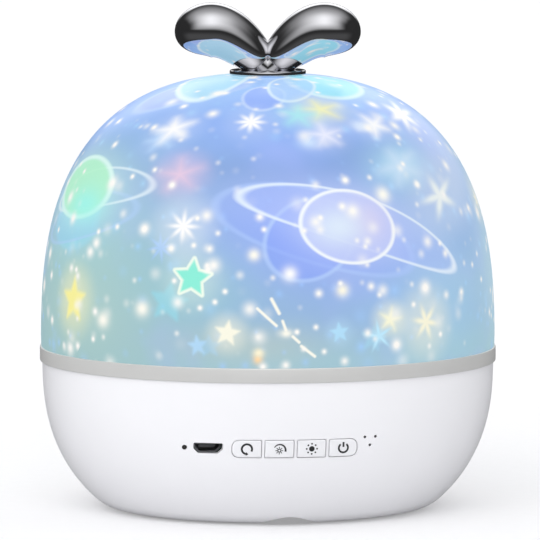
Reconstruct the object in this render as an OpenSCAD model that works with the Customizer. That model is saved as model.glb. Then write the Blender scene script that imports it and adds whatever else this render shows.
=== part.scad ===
// Round night light that throws stars round a room: a shade with a whale's tail lifts off a base
// in which a motor turns a printed film dome over a lamp. Millimetres, +Z up, z = 0 under the feet.
// The panel of the base looks towards -Y and is turned a little towards +X.

/* [Trim ring] */
// Outer radius of the trim ring, from which the shade, the base and what is in it take theirs
ring_r = 63; // [60:0.1:70]
// Height of the trim ring
ring_h = 4; // [3:0.1:6]
// Width of the ring's upper edge, which carries the shade
ring_t = 2.2; // [1.6:0.1:3]

/* [Shade] */
// How far the shade's foot stands back from the trim ring
shade_step = 0.3; // [0:0.05:0.6]
// Height of the shade above its open rim
shade_h = 75; // [68:0.1:86]
// Fullness of the shade's outline, where 2 is an ellipse
shade_power = 2.66; // [2.3:0.01:3.2]
// Wall of the shade
shade_wall = 1.8; // [1.2:0.1:2.4]

/* [Tail] */
// Radius of the plate under the tail
plate_r = 10.5; // [8:0.1:14]
// Thickness of the plate under the tail
plate_t = 1.4; // [0.8:0.1:2]
// How far the centre of a lobe's end lies from the middle
lobe_reach = 24.2; // [20:0.1:30]
// How high the middle of a lobe arches
lobe_crown = 15.5; // [11:0.1:18]
// How high the centre of a lobe's end lies
lobe_end_z = 6.8; // [5:0.1:10]
// Half thickness of a lobe at its root
lobe_root_t = 3.1; // [2.6:0.1:4]
// How much a lobe swells from its root to its end
lobe_swell = 5.7; // [4:0.1:6.5]
// Depth of a lobe as a share of its thickness
lobe_depth_share = 0.92; // [0.7:0.01:1]

/* [Base shell] */
// How far the base shell's top stands back from the trim ring
base_step = 0.7; // [0.3:0.05:1]
// Height of the base shell's upper edge above the table
base_top = 40.8; // [39:0.1:48]
// Depth that the base's outline would reach if it were not cut off
base_depth = 52; // [48:0.1:58]
// Fullness of the base's outline, where 2 is an ellipse
base_power = 2.4; // [2.1:0.1:2.8]
// Wall of the base shell
base_wall = 2.2; // [1.6:0.1:2.8]
// Gap between the base shell's lower edge and the table
rim_gap = 0.5; // [0.3:0.1:1.2]
// Rounding of the base shell's lower edge
rim_round = 2.6; // [1.5:0.1:4]
// Width of each arch in the lower edge
arch_w = 17; // [10:0.5:24]
// Height of each arch in the lower edge
arch_h = 2.1; // [1.2:0.1:2.6]
// How far the panel is turned from -Y towards +X
front_turn = 7.2; // [-15:0.1:15]

/* [Bottom cover] */
// Thickness of the bottom cover
cover_t = 2; // [1.5:0.1:3]
// Height of the bottom cover's lower face
cover_z = 2.8; // [2.4:0.1:4]
// Distance from the base shell's inside to the middle of a foot and its long screw
foot_inset = 13.5; // [13:0.1:14.5]
// Radius of a rubber foot
foot_r = 5.5; // [4.5:0.1:6]
// Thickness of a rubber foot
foot_t = 1.8; // [1.6:0.1:2.2]

/* [Keys] */
// Height of the keys' middle
key_z = 22.7; // [20:0.1:26]
// Distance from key to key
key_pitch = 8.75; // [8.4:0.05:9.4]
// Width of a key
key_w = 7.75; // [6.5:0.05:8]
// Height of a key
key_h = 4.8; // [4:0.1:6]
// Rounding of the row's outer ends
key_end_round = 2.2; // [1:0.1:2.4]
// How far a key stands out of the wall
key_proud = 0.4; // [0.2:0.05:0.8]
// Travel of a key
key_travel = 0.5; // [0.3:0.05:0.6]

/* [Socket, lamp and sound holes] */
// Distance of the charging socket from the panel's middle
usb_x = 23.2; // [22.6:0.1:25.6]
// Width of the charging socket's window
usb_w = 7.7; // [7.4:0.1:9]
// Height of the charging socket's window
usb_h = 2.9; // [2.6:0.1:3.6]
// Distance of the charging light from the panel's middle
light_x = 29.3; // [28.6:0.1:32.4]
// Radius of the charging light's hole
light_r = 0.7; // [0.5:0.05:1]
// Distance of the sound holes' middle from the panel's middle
sound_x = 20.7; // [20.2:0.1:25.6]
// Height of the upper sound holes above the keys' middle
sound_rise = 2.7; // [1:0.1:5]
// Radius of a sound hole
sound_r = 0.4; // [0.3:0.05:0.6]

/* [Turntable and films] */
// Gap between the turntable's edge and the well in which it turns
table_gap = 1.8; // [1:0.1:3]
// Thickness of the turntable
table_t = 2; // [1.5:0.1:3]
// Room above the films, up to the inside of the shade's crown
film_room = 19.35; // [15:0.05:28]
// Thickness of the printed film dome
film_t = 0.4; // [0.3:0.1:0.8]
// Wall of the clear film cover
film_cover_t = 1.2; // [0.8:0.1:1.6]
// Height of the turntable's upper edge
table_edge_h = 2.8; // [2:0.1:5]

/* [Gear train] */
// Module of all gears
gear_module = 0.8; // [0.8:0.01:0.84]
// Teeth of the gear under the turntable
table_teeth = 60; // [60:1:62]
// Teeth of the idler's large gear
idler_teeth = 36; // [34:1:38]
// Teeth of the small gears
pinion_teeth = 16; // [16:1:18]
// How much each tooth flank is cut back for play
tooth_play = 0.05; // [0.03:0.01:0.08]
// Thickness of the idler's large gear
idler_gear_t = 2; // [1.6:0.1:2.2]
// Direction of the idler seen from the middle, in the base's own frame
idler_angle = 195; // [185:1:200]
// Direction of the motor seen from the idler
motor_angle = -50; // [-55:1:-45]

/* [Deck] */
// Thickness of the deck's floor
deck_t = 2; // [1.6:0.1:3]
// How far the deck's floor lies below the base shell's upper edge
floor_drop = 5.3; // [4.8:0.1:5.8]
// Distance from the base shell's inside to the well in which the turntable turns
well_inset = 10.1; // [8.5:0.1:10.5]
// Height of the collar that centres the shade
collar_h = 7.3; // [4:0.1:10]
// Radius of the turntable's bearing
hub_r = 10; // [9:0.1:11]

/* [Lamp] */
// Outer radius of the lamp post
post_r = 6; // [5:0.1:6.5]
// Bore of the lamp post
post_bore_r = 4; // [3:0.1:4.4]
// Height of the lamp plate above the post's flange
post_h = 13; // [8:0.1:18]
// Radius of the lamp board
led_board_r = 9; // [8:0.1:11]

/* [Motor and battery] */
// Width of the gear motor
motor_w = 12; // [10:0.1:12.5]
// Depth of the gear motor
motor_d = 10; // [9:0.1:10.5]
// Length of the gear motor
motor_l = 24; // [20:0.1:25]
// Radius of the motor's shaft and of the idler's pin
shaft_r = 1.5; // [1.2:0.05:1.6]
// Radius of the battery
battery_r = 9.2; // [7:0.1:9.3]
// Length of the battery
battery_l = 65; // [50:0.5:66]
// Distance of the battery from the middle, away from the panel
battery_y = 13; // [12:0.1:15]

/* [Control board] */
// Distance from the base shell's outside to the board's front
board_inset = 18.3; // [17.8:0.1:19.3]
// How far the board reaches past the middle of the charging light
board_edge = 1.7; // [1.3:0.1:2]
// Height of the control board
board_h = 14.5; // [12:0.1:14.8]
// Thickness of the boards
board_t = 1.6; // [1:0.1:1.6]
// Width of a key switch
switch_w = 6; // [5:0.1:6.2]
// Depth of a key switch's body
switch_d = 3.5; // [2.5:0.1:3.8]
// Radius of a switch's stem
stem_r = 1.7; // [1.3:0.05:2]

/* [Fits] */
// Play of what turns or slides on something
run_play = 0.05; // [0.03:0.01:0.08]
// Play of what is laid or put into something
slip_play = 0.25; // [0.15:0.05:0.3]

/* [Hidden] */
$fn = 96;

cut = 1;                       // how far a cutter runs past the face that it cuts
arc_steps = 30;                // straight pieces of each half outline
shade_z = base_top + ring_h;   // open rim of the shade
shade_top = shade_z + shade_h;
rim_z = rim_gap;
shade_r = ring_r - shade_step;
base_r = ring_r - base_step;
foot_angles = [90, 210, 330];
arch_angles = [30, 150, 270];
key_xs = [for (i = [-1.5:1:1.5]) i * key_pitch];

// Screws
tip_gap = 0.3;                 // between a small screw's tip and the end of its hole
screw_r = 1.5;
screw_head_r = 2.8;
screw_head_t = 1.8;
small_screw_r = 0.8;
small_head_r = 1.4;
small_head_t = 1.1;
thread_play = 0.03;            // between a screw or pin and the hole that holds it
hole_play = 0.1;               // between a screw and a plate that it passes

// Bottom cover, feet and long screws
cover_top = cover_z + cover_t;
cover_r = base_inner_r(rim_z) - slip_play;
foot_ring_r = base_inner_r(cover_top) - foot_inset;
ledge_t = 2;
ledge_top = cover_top + ledge_t;
tab_r = foot_r + 0.8;
ledge_lap = 0.8;               // how far a screw's tab runs into the ledge
ledge_w = foot_inset - tab_r + ledge_lap;
boss_r = foot_r + 1;
boss_low = 1;
arch_reach = 4;                // how far an arch's cutter runs past the wall
arch_full = 0.7;               // how full an arch's crown is, where 1 is a plain wave
head_seat_z = foot_t + screw_head_t;
pillar_r = 3.6;
cover_screw_top = 17.6;
cradle_x = 18;
cradle_t = 4;
cradle_wall = 1.8;
cradle_half = battery_r + cradle_wall;

// Deck
floor_z = base_top - floor_drop;
floor_low = floor_z - deck_t;
well_r = base_r - base_wall - well_inset;
flange_t = 1.9;
flange_top = base_top + flange_t;
seat_lap = 1.1;                // how far the deck's flange lies on the base shell's edge
flange_r = base_r - base_wall + seat_lap;
lip_play = 0.1;                // between the deck's flange and the ring's lip
collar_r = shade_r - shade_wall - slip_play;
collar_t = 1.85;
collar_top = flange_top + collar_h;
well_t = 2;
washer_t = 0.6;
boss_h = 6;
boss_top = floor_z + boss_h;
pad_r = 3.5;
idler_pad = 0.5;
shaft_clear = 0.8;             // between the motor's shaft and the deck

// Lamp
spigot_r = post_r + 1;
post_flange_r = 12;
post_flange_t = 1.5;
post_flange_top = boss_top + post_flange_t;
post_screw_ring = (spigot_r + hub_r) / 2;
post_screw_l = 5.6;
post_screw_angles = [30, 150, 270];
lamp_plate_z = post_flange_top + post_h;
lamp_plate_t = 1.5;
led_board_z = lamp_plate_z + lamp_plate_t;
led_screw_ring = 6.9;
led_screw_l = 2.8;
led_screw_angles = [90, 270];
led_w = 3;
led_t = 0.9;
led_ring = 3.8;

// Turntable and films
lift_play = 0.3;               // between the turntable and the post's flange above it
table_z = boss_top - lift_play;
table_top = table_z + table_t;
table_low = floor_z + washer_t;
table_r = well_r - table_gap;
hub_wall = 4.5;
table_hub_r = hub_r + hub_wall;
flange_clear = 0.6;            // between the post's flange and the turntable round it
table_inner_r = post_flange_r + flange_clear;
washer_inset = 0.5;
washer_play = 0.2;
table_edge_t = 1.2;
crown_in_z = shade_top - shade_wall;
film_h = crown_in_z - film_room - film_cover_t - slip_play - table_top;
film_cover_r = table_r - table_edge_t - slip_play;
film_r = film_cover_r - film_cover_t - slip_play;
film_power = 2.5;

// Gear train
pitch_table = gear_module * table_teeth / 2;
pitch_idler = gear_module * idler_teeth / 2;
pitch_pinion = gear_module * pinion_teeth / 2;
pressure = 20;
addendum = 0.95;               // height of a tooth outside the pitch circle, in modules
dedendum = 1.2;                // its depth inside the pitch circle, in modules
flank_steps = 4;
mesh_play = 0.05;
mesh_table = pitch_table + pitch_pinion + mesh_play;
mesh_motor = pitch_idler + pitch_pinion + mesh_play;
idler_at = mesh_table * [cos(idler_angle), sin(idler_angle)];
motor_at = idler_at + mesh_motor * [cos(motor_angle), sin(motor_angle)];
idler_z = floor_z + idler_pad;
idler_mid = idler_z + idler_gear_t;
idler_gap = 0.4;               // between the idler's top and the turntable
idler_top = table_z - idler_gap;
gear_step = 0.6;               // between the idler's large gear and the turntable's gear
table_gear_z = idler_mid + gear_step;
pinion_over = 0.2;             // how far the pinion stands above the gear that it turns
pinion_top = idler_mid + pinion_over;
pin_over = 0.1;                // how far the idler's pin stands above the idler

// Motor and its strap
gearbox_l = 9;
gearbox_bore = 4.5;
shaft_gap = 0.2;               // between the shaft's end and the bottom of its bore
motor_low = floor_low - motor_l;
motor_cap_r = 2.5;
motor_cap_t = 0.8;
clamp_t = 1.2;
clamp_w = 7;
clamp_ear = 6;
clamp_ear_t = 1.5;
clamp_screw_y = motor_d / 2 + clamp_t + clamp_ear / 2;
clamp_screw_l = clamp_ear_t + deck_t - hole_play;

// Battery
battery_lift = 2.4;            // between the battery and the bottom cover
battery_z = cover_top + battery_r + battery_lift;
battery_cap_r = 3;
battery_cap_t = 0.8;
battery_end = battery_l / 2 + battery_cap_t;

// Control board and what it carries
board_y = base_r - board_inset;
board_w = 2 * (light_x + board_edge);
board_z = key_z - 6.7;
board_back = board_y - board_t;
board_post_x = 26;
board_post_w = 5;
board_post_d = 5;
board_post_low = board_z + 2;
board_screw_z = key_z + 5.1;
board_screw_l = 5;
switch_floor = 1;              // floor of a switch behind its stem
switch_bore_y = board_y + switch_floor;
switch_front = board_y + switch_d;
stem_gap = 0.2;                // left behind a stem whose key is pressed home
stem_back = switch_bore_y + key_travel + stem_gap;
stem_out = 3;
stem_front = switch_front + stem_out;
key_play = 0.15;               // between a key and its window
flange_lap = 0.7;              // how far a key's inner flange reaches past its window
flange_gap = 0.3;              // between that flange and the wall
key_flange_t = 1;
plunger_r = 2;
usb_play = 0.15;
usb_shell_t = 0.35;
usb_depth = 5;
usb_corner = 1.26;             // height and width of the socket's cut-off corners
usb_reach = 0.3;               // how far the socket reaches into the wall's window
usb_front = base_inner_front(usb_x, key_z) + usb_reach;
usb_tongue = [4.4, 4, 0.7];
usb_tongue_root = 0.5;         // how far the tongue runs into the socket's floor
light_base = 2.4;
light_base_t = 1.5;
light_sunk = 0.1;
beeper_r = 4;
beeper_d = 5.5;
beeper_hole_r = 1;
beeper_hole_d = 1;
beeper_at = [sound_x, key_z + 1.9];
sound_half = 1.5;
sound_drop = 2.3;
plug_size = [5, 5, 4.4];
plug_y = board_back - plug_size[1];
battery_plug = [-20, key_z - 1.7];
motor_plug = [6, key_z - 4.1];
lamp_plug = [16, key_z + 2.3];
chip_size = [8, 1.6, 8];
chip_at = [-8, key_z + 1.8];

// Tail
tail_z = shade_top - crown_sink(plate_r, shade_r, shade_h) + plate_t;
plate_spigot_r = 3;
tail_washer_r = 6;
tail_washer_t = 0.8;
tail_washer_play = 0.02;
tail_washer_z = crown_in_z - tail_washer_play - tail_washer_t
  - crown_sink(tail_washer_r, shade_r - shade_wall, shade_h - shade_wall);
tail_screw_grip = 4.6;
lobe_sides = 20;
lobe_rings = 18;
lobe_path = [
  [1.5, 1.9],
  [9.3, 9.2],
  [15, lobe_crown],
  [lobe_reach, lobe_end_z]
];
lobe_blunt = 6;                // how square a lobe's end is
lobe_back = 4;                 // how far a lobe's root runs into the other lobe

// Leads in the base. Each runs straight out of its part, bends over and runs straight into its plug
lead_r = 1;
lead_straight = 2;
lead_steps = 7;
lead_clear = 4;                // between the battery's lead and the deck's pillar that it goes round
lead_pillar_angle = 205;
lead_turn_r = foot_ring_r + pillar_r + lead_clear + lead_r;
lead_turn = [lead_turn_r * cos(lead_pillar_angle), lead_turn_r * sin(lead_pillar_angle), battery_z + 2.5];
lead_turn_way = [-sin(lead_pillar_angle), cos(lead_pillar_angle), 0];
motor_lead_rise = 3.5;
motor_lead_at = [motor_at[0] + motor_w / 2, motor_at[1], motor_low + motor_lead_rise];
post_low = [0, 0, floor_low + lead_straight];
battery_route = concat(
  [[-battery_end, battery_y, battery_z]],
  bend([-battery_end - lead_straight, battery_y, battery_z], [-5, 0, 0], lead_turn, 10 * lead_turn_way),
  bend(lead_turn, 12 * lead_turn_way, plug_end(battery_plug), [3, -4, 0], 1),
  [plug_end(battery_plug, 0)]
);
motor_route = concat(
  [motor_lead_at],
  bend(motor_lead_at + [lead_straight, 0, 0], [8, 0, 0], plug_end(motor_plug), [0, -5, 0]),
  [plug_end(motor_plug, 0)]
);
lamp_route = concat(
  [[0, 0, led_board_z]],
  bend(post_low, [0, 0, -8], plug_end(lamp_plug), [0, -12, 0]),
  [plug_end(lamp_plug, 0)]
);

// ---------- formulas ----------

// Radius of a superellipse of revolution at a height from its widest level
function swell_r(r, h, p, z) = r * pow(1 - pow(min(1, abs(z) / h), p), 1 / p);
function base_outer_r(z) = swell_r(base_r, base_depth, base_power, base_top - z);
function base_inner_r(z) =
  swell_r(base_r - base_wall, base_depth - base_wall, base_power, base_top - z);
// Distance in front of the middle at which the base's wall lies at x and z
function base_inner_front(x, z) = sqrt(pow(base_inner_r(z), 2) - x * x);
function base_outer_front(x, z) = sqrt(pow(base_outer_r(z), 2) - x * x);
// How far the shade's crown has sunk at radius at_r
function crown_sink(at_r, r, h) = h * (1 - pow(1 - pow(at_r / r, shade_power), 1 / shade_power));

// Part of a superellipse, from its widest level up to an angle
function swell_arc(r, h, p, to_angle = 90) = [
  for (i = [0:arc_steps])
    let (t = to_angle * i / arc_steps)
      [r * pow(cos(t), 2 / p), h * pow(sin(t), 2 / p)]
];
// Angle at which such an arc reaches a height
function swell_angle(h, p, z) = asin(pow(z / h, p / 2));
function flip(points) = [for (i = [len(points) - 1:-1:0]) points[i]];
function from_top(points) = [for (q = points) [q[0], base_top - q[1]]];
// Smooth corner from a to c round the sharp corner b
function corner(a, b, c, steps = 6) = [
  for (i = [1:steps])
    let (t = i / steps)
      a * pow(1 - t, 2) + b * 2 * t * (1 - t) + c * t * t
];
function unit(v) = v / norm(v);

// Bend from a, left along way_a, to b, reached along way_b. It may skip its first points
function bend(a, way_a, b, way_b, skip = 0) = [
  for (i = [skip:lead_steps])
    let (t = i / lead_steps)
      a * pow(1 - t, 3) + (a + way_a) * 3 * pow(1 - t, 2) * t
      + (b - way_b) * 3 * (1 - t) * t * t + b * pow(t, 3)
];
// Point in front of the back of a plug on the control board
function plug_end(at, away = lead_straight) = [at[0], away - plug_y, at[1]];

// ---------- shared shapes ----------

// Closed wall of a dome that stands on its open rim
module dome_wall(r, h, p, wall) {
  rotate_extrude()
    polygon(concat(swell_arc(r, h, p), flip(swell_arc(r - wall, h - wall, p))));
}

module ring_wall(outer, inner, h) {
  difference() {
    cylinder(r = outer, h = h);
    translate([0, 0, -cut]) cylinder(r = inner, h = h + 2 * cut);
  }
}

// Everything that is turned with the panel
module base_frame() {
  rotate([0, 0, front_turn]) children();
}

module at_polar(r, angle) {
  translate([r * cos(angle), r * sin(angle), 0]) children();
}

module at_feet() {
  for (a = foot_angles) at_polar(foot_ring_r, a) children();
}

// An outline drawn in x and z, raised from near to far in front of the middle
module towards_front(near, far) {
  translate([0, -near, 0]) rotate([90, 0, 0]) linear_extrude(far - near) children();
}

// Screw that stands on its head
module screw(r, length, head_r, head_t) {
  cylinder(r = head_r, h = head_t);
  cylinder(r = r, h = head_t + length);
}

// Lead with a round jacket that follows a route
module lead(route, r = lead_r, sides = 8) {
  last = len(route) - 1;
  function way(i) = unit(route[min(i + 1, last)] - route[max(i - 1, 0)]);
  function side_dir(i) = unit(cross(way(i), abs(way(i)[2]) > 0.9 ? [1, 0, 0] : [0, 0, 1]));
  sides_at = [
    for (i = 0, s = side_dir(0); i <= last; i = i + 1, s = i > last ? s : unit(s - way(i) * (s * way(i)))) s
  ];
  points = [
    for (i = [0:last], j = [0:sides - 1])
      let (s = sides_at[i], u = cross(way(i), s), a = 360 * j / sides)
        route[i] + r * (cos(a) * s + sin(a) * u)
  ];
  faces = [
    for (i = [0:last - 1], j = [0:sides - 1])
      let (k = (j + 1) % sides, a = i * sides, b = a + sides)
        [a + j, b + j, b + k, a + k]
  ];
  start = [for (j = [0:sides - 1]) j];
  end = [for (j = [sides - 1:-1:0]) last * sides + j];
  polyhedron(points, concat([start, end], faces));
}

// ---------- gears ----------

// Angle by which an involute has turned at radius r
function roll(base, r) = let (q = sqrt(max(0, r * r / (base * base) - 1))) q * 180 / PI - atan(q);

module gear_outline(teeth) {
  pitch = gear_module * teeth / 2;
  base = pitch * cos(pressure);
  tip = pitch + addendum * gear_module;
  root = pitch - dedendum * gear_module;
  low = max(base, root);
  half = 90 / teeth - tooth_play / pitch * 180 / PI + roll(base, pitch);
  flank = [
    for (i = [0:flank_steps])
      let (r = low + (tip - low) * i / flank_steps)
        [r, half - roll(base, r)]
  ];
  side = concat(root < low ? [[root, half]] : [], flank);
  polygon([
    for (n = [0:teeth - 1])
      let (middle = 360 * n / teeth)
        each concat(
          [for (q = side) q[0] * [cos(middle - q[1]), sin(middle - q[1])]],
          [for (q = flip(side)) q[0] * [cos(middle + q[1]), sin(middle + q[1])]]
        )
  ]);
}

// Gear with a tooth towards angle
module gear(teeth, h, angle) {
  rotate([0, 0, angle]) linear_extrude(h) gear_outline(teeth);
}
// Angle that puts a gap of the driven gear in front of a tooth of its mate
function mating_angle(angle, teeth) = angle + 180 + 180 / teeth;

// ---------- base ----------

module base_profile() {
  outer_end = swell_angle(base_depth, base_power, base_top - rim_z - rim_round);
  inner_end = swell_angle(base_depth - base_wall, base_power, base_top - rim_z);
  outer = from_top(swell_arc(base_r, base_depth, base_power, outer_end));
  inner = from_top(swell_arc(base_r - base_wall, base_depth - base_wall, base_power, inner_end));
  rim_r = base_outer_r(rim_z);
  rim = corner(outer[arc_steps], [rim_r, rim_z], [rim_r - rim_round, rim_z]);
  polygon(concat(outer, rim, flip(inner)));
}

module arch_outline() {
  steps = 16;
  polygon(concat(
    [[arch_w / 2, -cut], [-arch_w / 2, -cut]],
    [
      for (i = [0:steps])
        let (x = arch_w * (i / steps - 0.5))
          [x, arch_h * pow((1 + cos(360 * x / arch_w)) / 2, arch_full)]
    ]
  ));
}

// Outline of key i, grown by more on all sides. The row's two outer ends are round
module key_outline(i, more = 0) {
  half_w = key_w / 2 + more;
  half_h = key_h / 2 + more;
  soft = key_end_round + more;
  translate([key_xs[i], key_z])
    if (i == 1 || i == 2) {
      square([2 * half_w, 2 * half_h], center = true);
    } else {
      mirror([i == 0 ? 1 : 0, 0]) {
        translate([-half_w, -half_h]) square([2 * half_w - soft, 2 * half_h]);
        translate([-half_w, soft - half_h]) square([2 * half_w, 2 * (half_h - soft)]);
        for (side = [-1, 1])
          translate([half_w - soft, side * (half_h - soft)]) circle(r = soft);
      }
    }
}

// Outline of the charging socket: wide above, with its lower corners cut off
module usb_outline(less = 0) {
  w = usb_w / 2 - less;
  h = usb_h / 2 - less;
  step = usb_corner;
  translate([-usb_x, key_z])
    polygon([[-w, h], [w, h], [w, step - h], [w - step, -h], [step - w, -h], [-w, step - h]]);
}

module sound_outline() {
  translate([sound_x, key_z + sound_rise]) {
    for (side = [-1, 1]) translate([side * sound_half, 0]) circle(r = sound_r);
    translate([0, -sound_drop]) circle(r = sound_r);
  }
}

module base_shell() color("WhiteSmoke") base_frame() difference() {
  union() {
    rotate_extrude() base_profile();
    translate([0, 0, cover_top]) ring_wall(
      base_outer_r(cover_top) - base_wall / 4, base_inner_r(cover_top) - ledge_w, ledge_t
    );
    at_feet() translate([0, 0, cover_top]) cylinder(r = tab_r, h = ledge_t);
  }
  at_feet() translate([0, 0, cover_top - cut])
    cylinder(r = screw_r + hole_play, h = ledge_t + 2 * cut);
  for (a = arch_angles) rotate([0, 0, a + 90]) translate([0, 0, rim_z])
    towards_front(base_inner_r(rim_z) - arch_reach, base_outer_r(rim_z) + arch_reach) arch_outline();
  for (i = [0:3]) towards_front(board_y, base_r) key_outline(i, key_play);
  towards_front(board_y, base_r) usb_outline();
  towards_front(board_y, base_r) translate([-light_x, key_z]) circle(r = light_r);
  towards_front(board_y, base_r) sound_outline();
}

module bottom_cover() color("White") base_frame() difference() {
  union() {
    translate([0, 0, cover_z]) cylinder(r = cover_r, h = cover_t);
    at_feet() translate([0, 0, boss_low]) cylinder(r = boss_r, h = cover_top - boss_low);
    for (side = [-1, 1])
      translate([side * cradle_x - cradle_t / 2, battery_y - cradle_half, cover_top - cut])
        cube([cradle_t, 2 * cradle_half, battery_z - cover_top]);
  }
  at_feet() {
    translate([0, 0, boss_low - cut]) cylinder(r = foot_r + run_play, h = foot_t - boss_low + cut);
    translate([0, 0, foot_t - cut]) cylinder(r = screw_head_r + hole_play, h = screw_head_t + cut);
    translate([0, 0, foot_t]) cylinder(r = screw_r + hole_play, h = cover_top);
  }
  translate([-battery_l, battery_y, battery_z]) rotate([0, 90, 0])
    cylinder(r = battery_r + run_play, h = 2 * battery_l);
}

module rubber_feet() color("DimGray") base_frame() at_feet() cylinder(r = foot_r, h = foot_t);

module cover_screws() color("Silver") base_frame() at_feet() translate([0, 0, foot_t])
  screw(screw_r, cover_screw_top - head_seat_z, screw_head_r, screw_head_t);

module trim_ring() color("Silver") {
  lip_r = ring_r - ring_t;
  step_r = flange_r + lip_play;
  step_z = flange_top + lip_play;
  rotate_extrude() polygon([
    [step_r, base_top], [ring_r, base_top], [ring_r, shade_z],
    [lip_r, shade_z], [lip_r, step_z], [step_r, step_z]
  ]);
}

// ---------- deck ----------

module deck_profile() {
  polygon([
    [0, floor_low], [well_r + well_t, floor_low], [well_r + well_t, base_top],
    [flange_r, base_top], [flange_r, flange_top], [collar_r, flange_top],
    [collar_r, collar_top], [collar_r - collar_t, collar_top], [collar_r - collar_t, flange_top],
    [well_r, flange_top], [well_r, floor_z], [0, floor_z]
  ]);
}

module deck() color("Gainsboro") base_frame() difference() {
  union() {
    rotate_extrude() deck_profile();
    translate([0, 0, floor_low]) cylinder(r = hub_r - run_play, h = boss_top - floor_low);
    translate([idler_at[0], idler_at[1], floor_low]) cylinder(r = pad_r, h = deck_t + idler_pad);
    at_feet() translate([0, 0, ledge_top])
      cylinder(r = pillar_r, h = floor_z - deck_t / 2 - ledge_top);
    for (side = [-1, 1])
      translate([side * board_post_x - board_post_w / 2, -board_back, board_post_low])
        cube([board_post_w, board_post_d, floor_z - deck_t / 2 - board_post_low]);
  }
  translate([0, 0, floor_low - cut]) cylinder(r = spigot_r + run_play, h = boss_top);
  at_feet() translate([0, 0, ledge_top - cut])
    cylinder(r = screw_r + thread_play, h = cover_screw_top - ledge_top + 2 * cut);
  translate([idler_at[0], idler_at[1], floor_low - cut])
    cylinder(r = shaft_r + thread_play, h = deck_t + idler_pad + 2 * cut);
  translate([motor_at[0], motor_at[1], floor_low - cut])
    cylinder(r = shaft_r + shaft_clear, h = deck_t + 2 * cut);
  for (side = [-1, 1]) {
    translate([motor_at[0], motor_at[1] + side * clamp_screw_y, floor_low - cut])
      cylinder(r = small_screw_r + thread_play, h = deck_t + 2 * cut);
    translate([side * board_post_x, board_screw_l - board_y, board_screw_z]) rotate([90, 0, 0])
      cylinder(r = small_screw_r + thread_play, h = board_screw_l);
  }
  for (a = post_screw_angles) at_polar(post_screw_ring, a)
    translate([0, 0, boss_top - post_screw_l])
      cylinder(r = small_screw_r + thread_play, h = post_screw_l + cut);
}

module thrust_washer() color("Ivory") translate([0, 0, floor_z])
  ring_wall(table_hub_r - washer_inset, hub_r + washer_play, washer_t);

module idler_pin() color("Silver") base_frame() translate([idler_at[0], idler_at[1], floor_low])
  cylinder(r = shaft_r, h = idler_top + pin_over - floor_low);

// ---------- lamp ----------

module lamp_post() color("White") base_frame() difference() {
  union() {
    translate([0, 0, floor_low]) cylinder(r = spigot_r, h = boss_top - floor_low + cut);
    translate([0, 0, boss_top]) cylinder(r = post_flange_r, h = post_flange_t);
    translate([0, 0, boss_top]) cylinder(r = post_r, h = lamp_plate_z - boss_top + cut);
    translate([0, 0, lamp_plate_z]) cylinder(r = led_board_r, h = lamp_plate_t);
  }
  translate([0, 0, floor_low - cut]) cylinder(r = post_bore_r, h = led_board_z);
  for (a = post_screw_angles) at_polar(post_screw_ring, a)
    translate([0, 0, boss_top - cut]) cylinder(r = small_screw_r + hole_play, h = post_flange_t + 2 * cut);
  for (a = led_screw_angles) at_polar(led_screw_ring, a)
    translate([0, 0, lamp_plate_z - cut]) cylinder(r = small_screw_r + thread_play, h = lamp_plate_t + 2 * cut);
}

module post_screws() color("Silver") base_frame()
  for (a = post_screw_angles) at_polar(post_screw_ring, a)
    translate([0, 0, post_flange_top + small_head_t]) mirror([0, 0, 1])
      screw(small_screw_r, post_screw_l + post_flange_t - tip_gap, small_head_r, small_head_t);

module led_board() color("SeaGreen") base_frame() difference() {
  translate([0, 0, led_board_z]) cylinder(r = led_board_r, h = board_t);
  for (a = led_screw_angles) at_polar(led_screw_ring, a)
    translate([0, 0, led_board_z - cut]) cylinder(r = small_screw_r + hole_play, h = board_t + 2 * cut);
}

module led_board_screws() color("Silver") base_frame()
  for (a = led_screw_angles) at_polar(led_screw_ring, a)
    translate([0, 0, led_board_z + board_t + small_head_t]) mirror([0, 0, 1])
      screw(small_screw_r, led_screw_l, small_head_r, small_head_t);

module led_chips() color("Gold") base_frame()
  for (a = [45:90:315]) rotate([0, 0, a])
    translate([led_ring - led_w / 2, -led_w / 2, led_board_z + board_t]) cube([led_w, led_w, led_t]);

// ---------- turntable and gear train ----------

module turntable() color("White") base_frame() {
  rotate_extrude() polygon([
    [hub_r, table_low], [table_hub_r, table_low], [table_hub_r, table_z],
    [table_r, table_z], [table_r, table_top + table_edge_h],
    [table_r - table_edge_t, table_top + table_edge_h], [table_r - table_edge_t, table_top],
    [table_inner_r, table_top], [table_inner_r, table_z], [hub_r, table_z]
  ]);
  translate([0, 0, table_gear_z]) difference() {
    gear(table_teeth, table_z - table_gear_z + table_t / 2, idler_angle);
    translate([0, 0, -cut]) cylinder(r = table_hub_r - washer_inset, h = table_z);
  }
}

module film_dome() color("LightSkyBlue") translate([0, 0, table_top])
  dome_wall(film_r, film_h, film_power, film_t);

module film_cover() color("AliceBlue") translate([0, 0, table_top])
  dome_wall(film_cover_r, film_h + slip_play + film_cover_t, film_power, film_cover_t);

module idler_gear() color("White") base_frame() translate([idler_at[0], idler_at[1], idler_z])
  difference() {
    union() {
      gear(idler_teeth, idler_gear_t, motor_angle);
      gear(pinion_teeth, idler_top - idler_z, mating_angle(idler_angle, pinion_teeth));
    }
    translate([0, 0, -cut]) cylinder(r = shaft_r + run_play, h = idler_top);
  }

module drive_pinion() color("Goldenrod") base_frame()
  translate([motor_at[0], motor_at[1], idler_z]) difference() {
    gear(pinion_teeth, pinion_top - idler_z, mating_angle(motor_angle, pinion_teeth));
    translate([0, 0, -cut]) cylinder(r = shaft_r + thread_play, h = pinion_top);
  }

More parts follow.
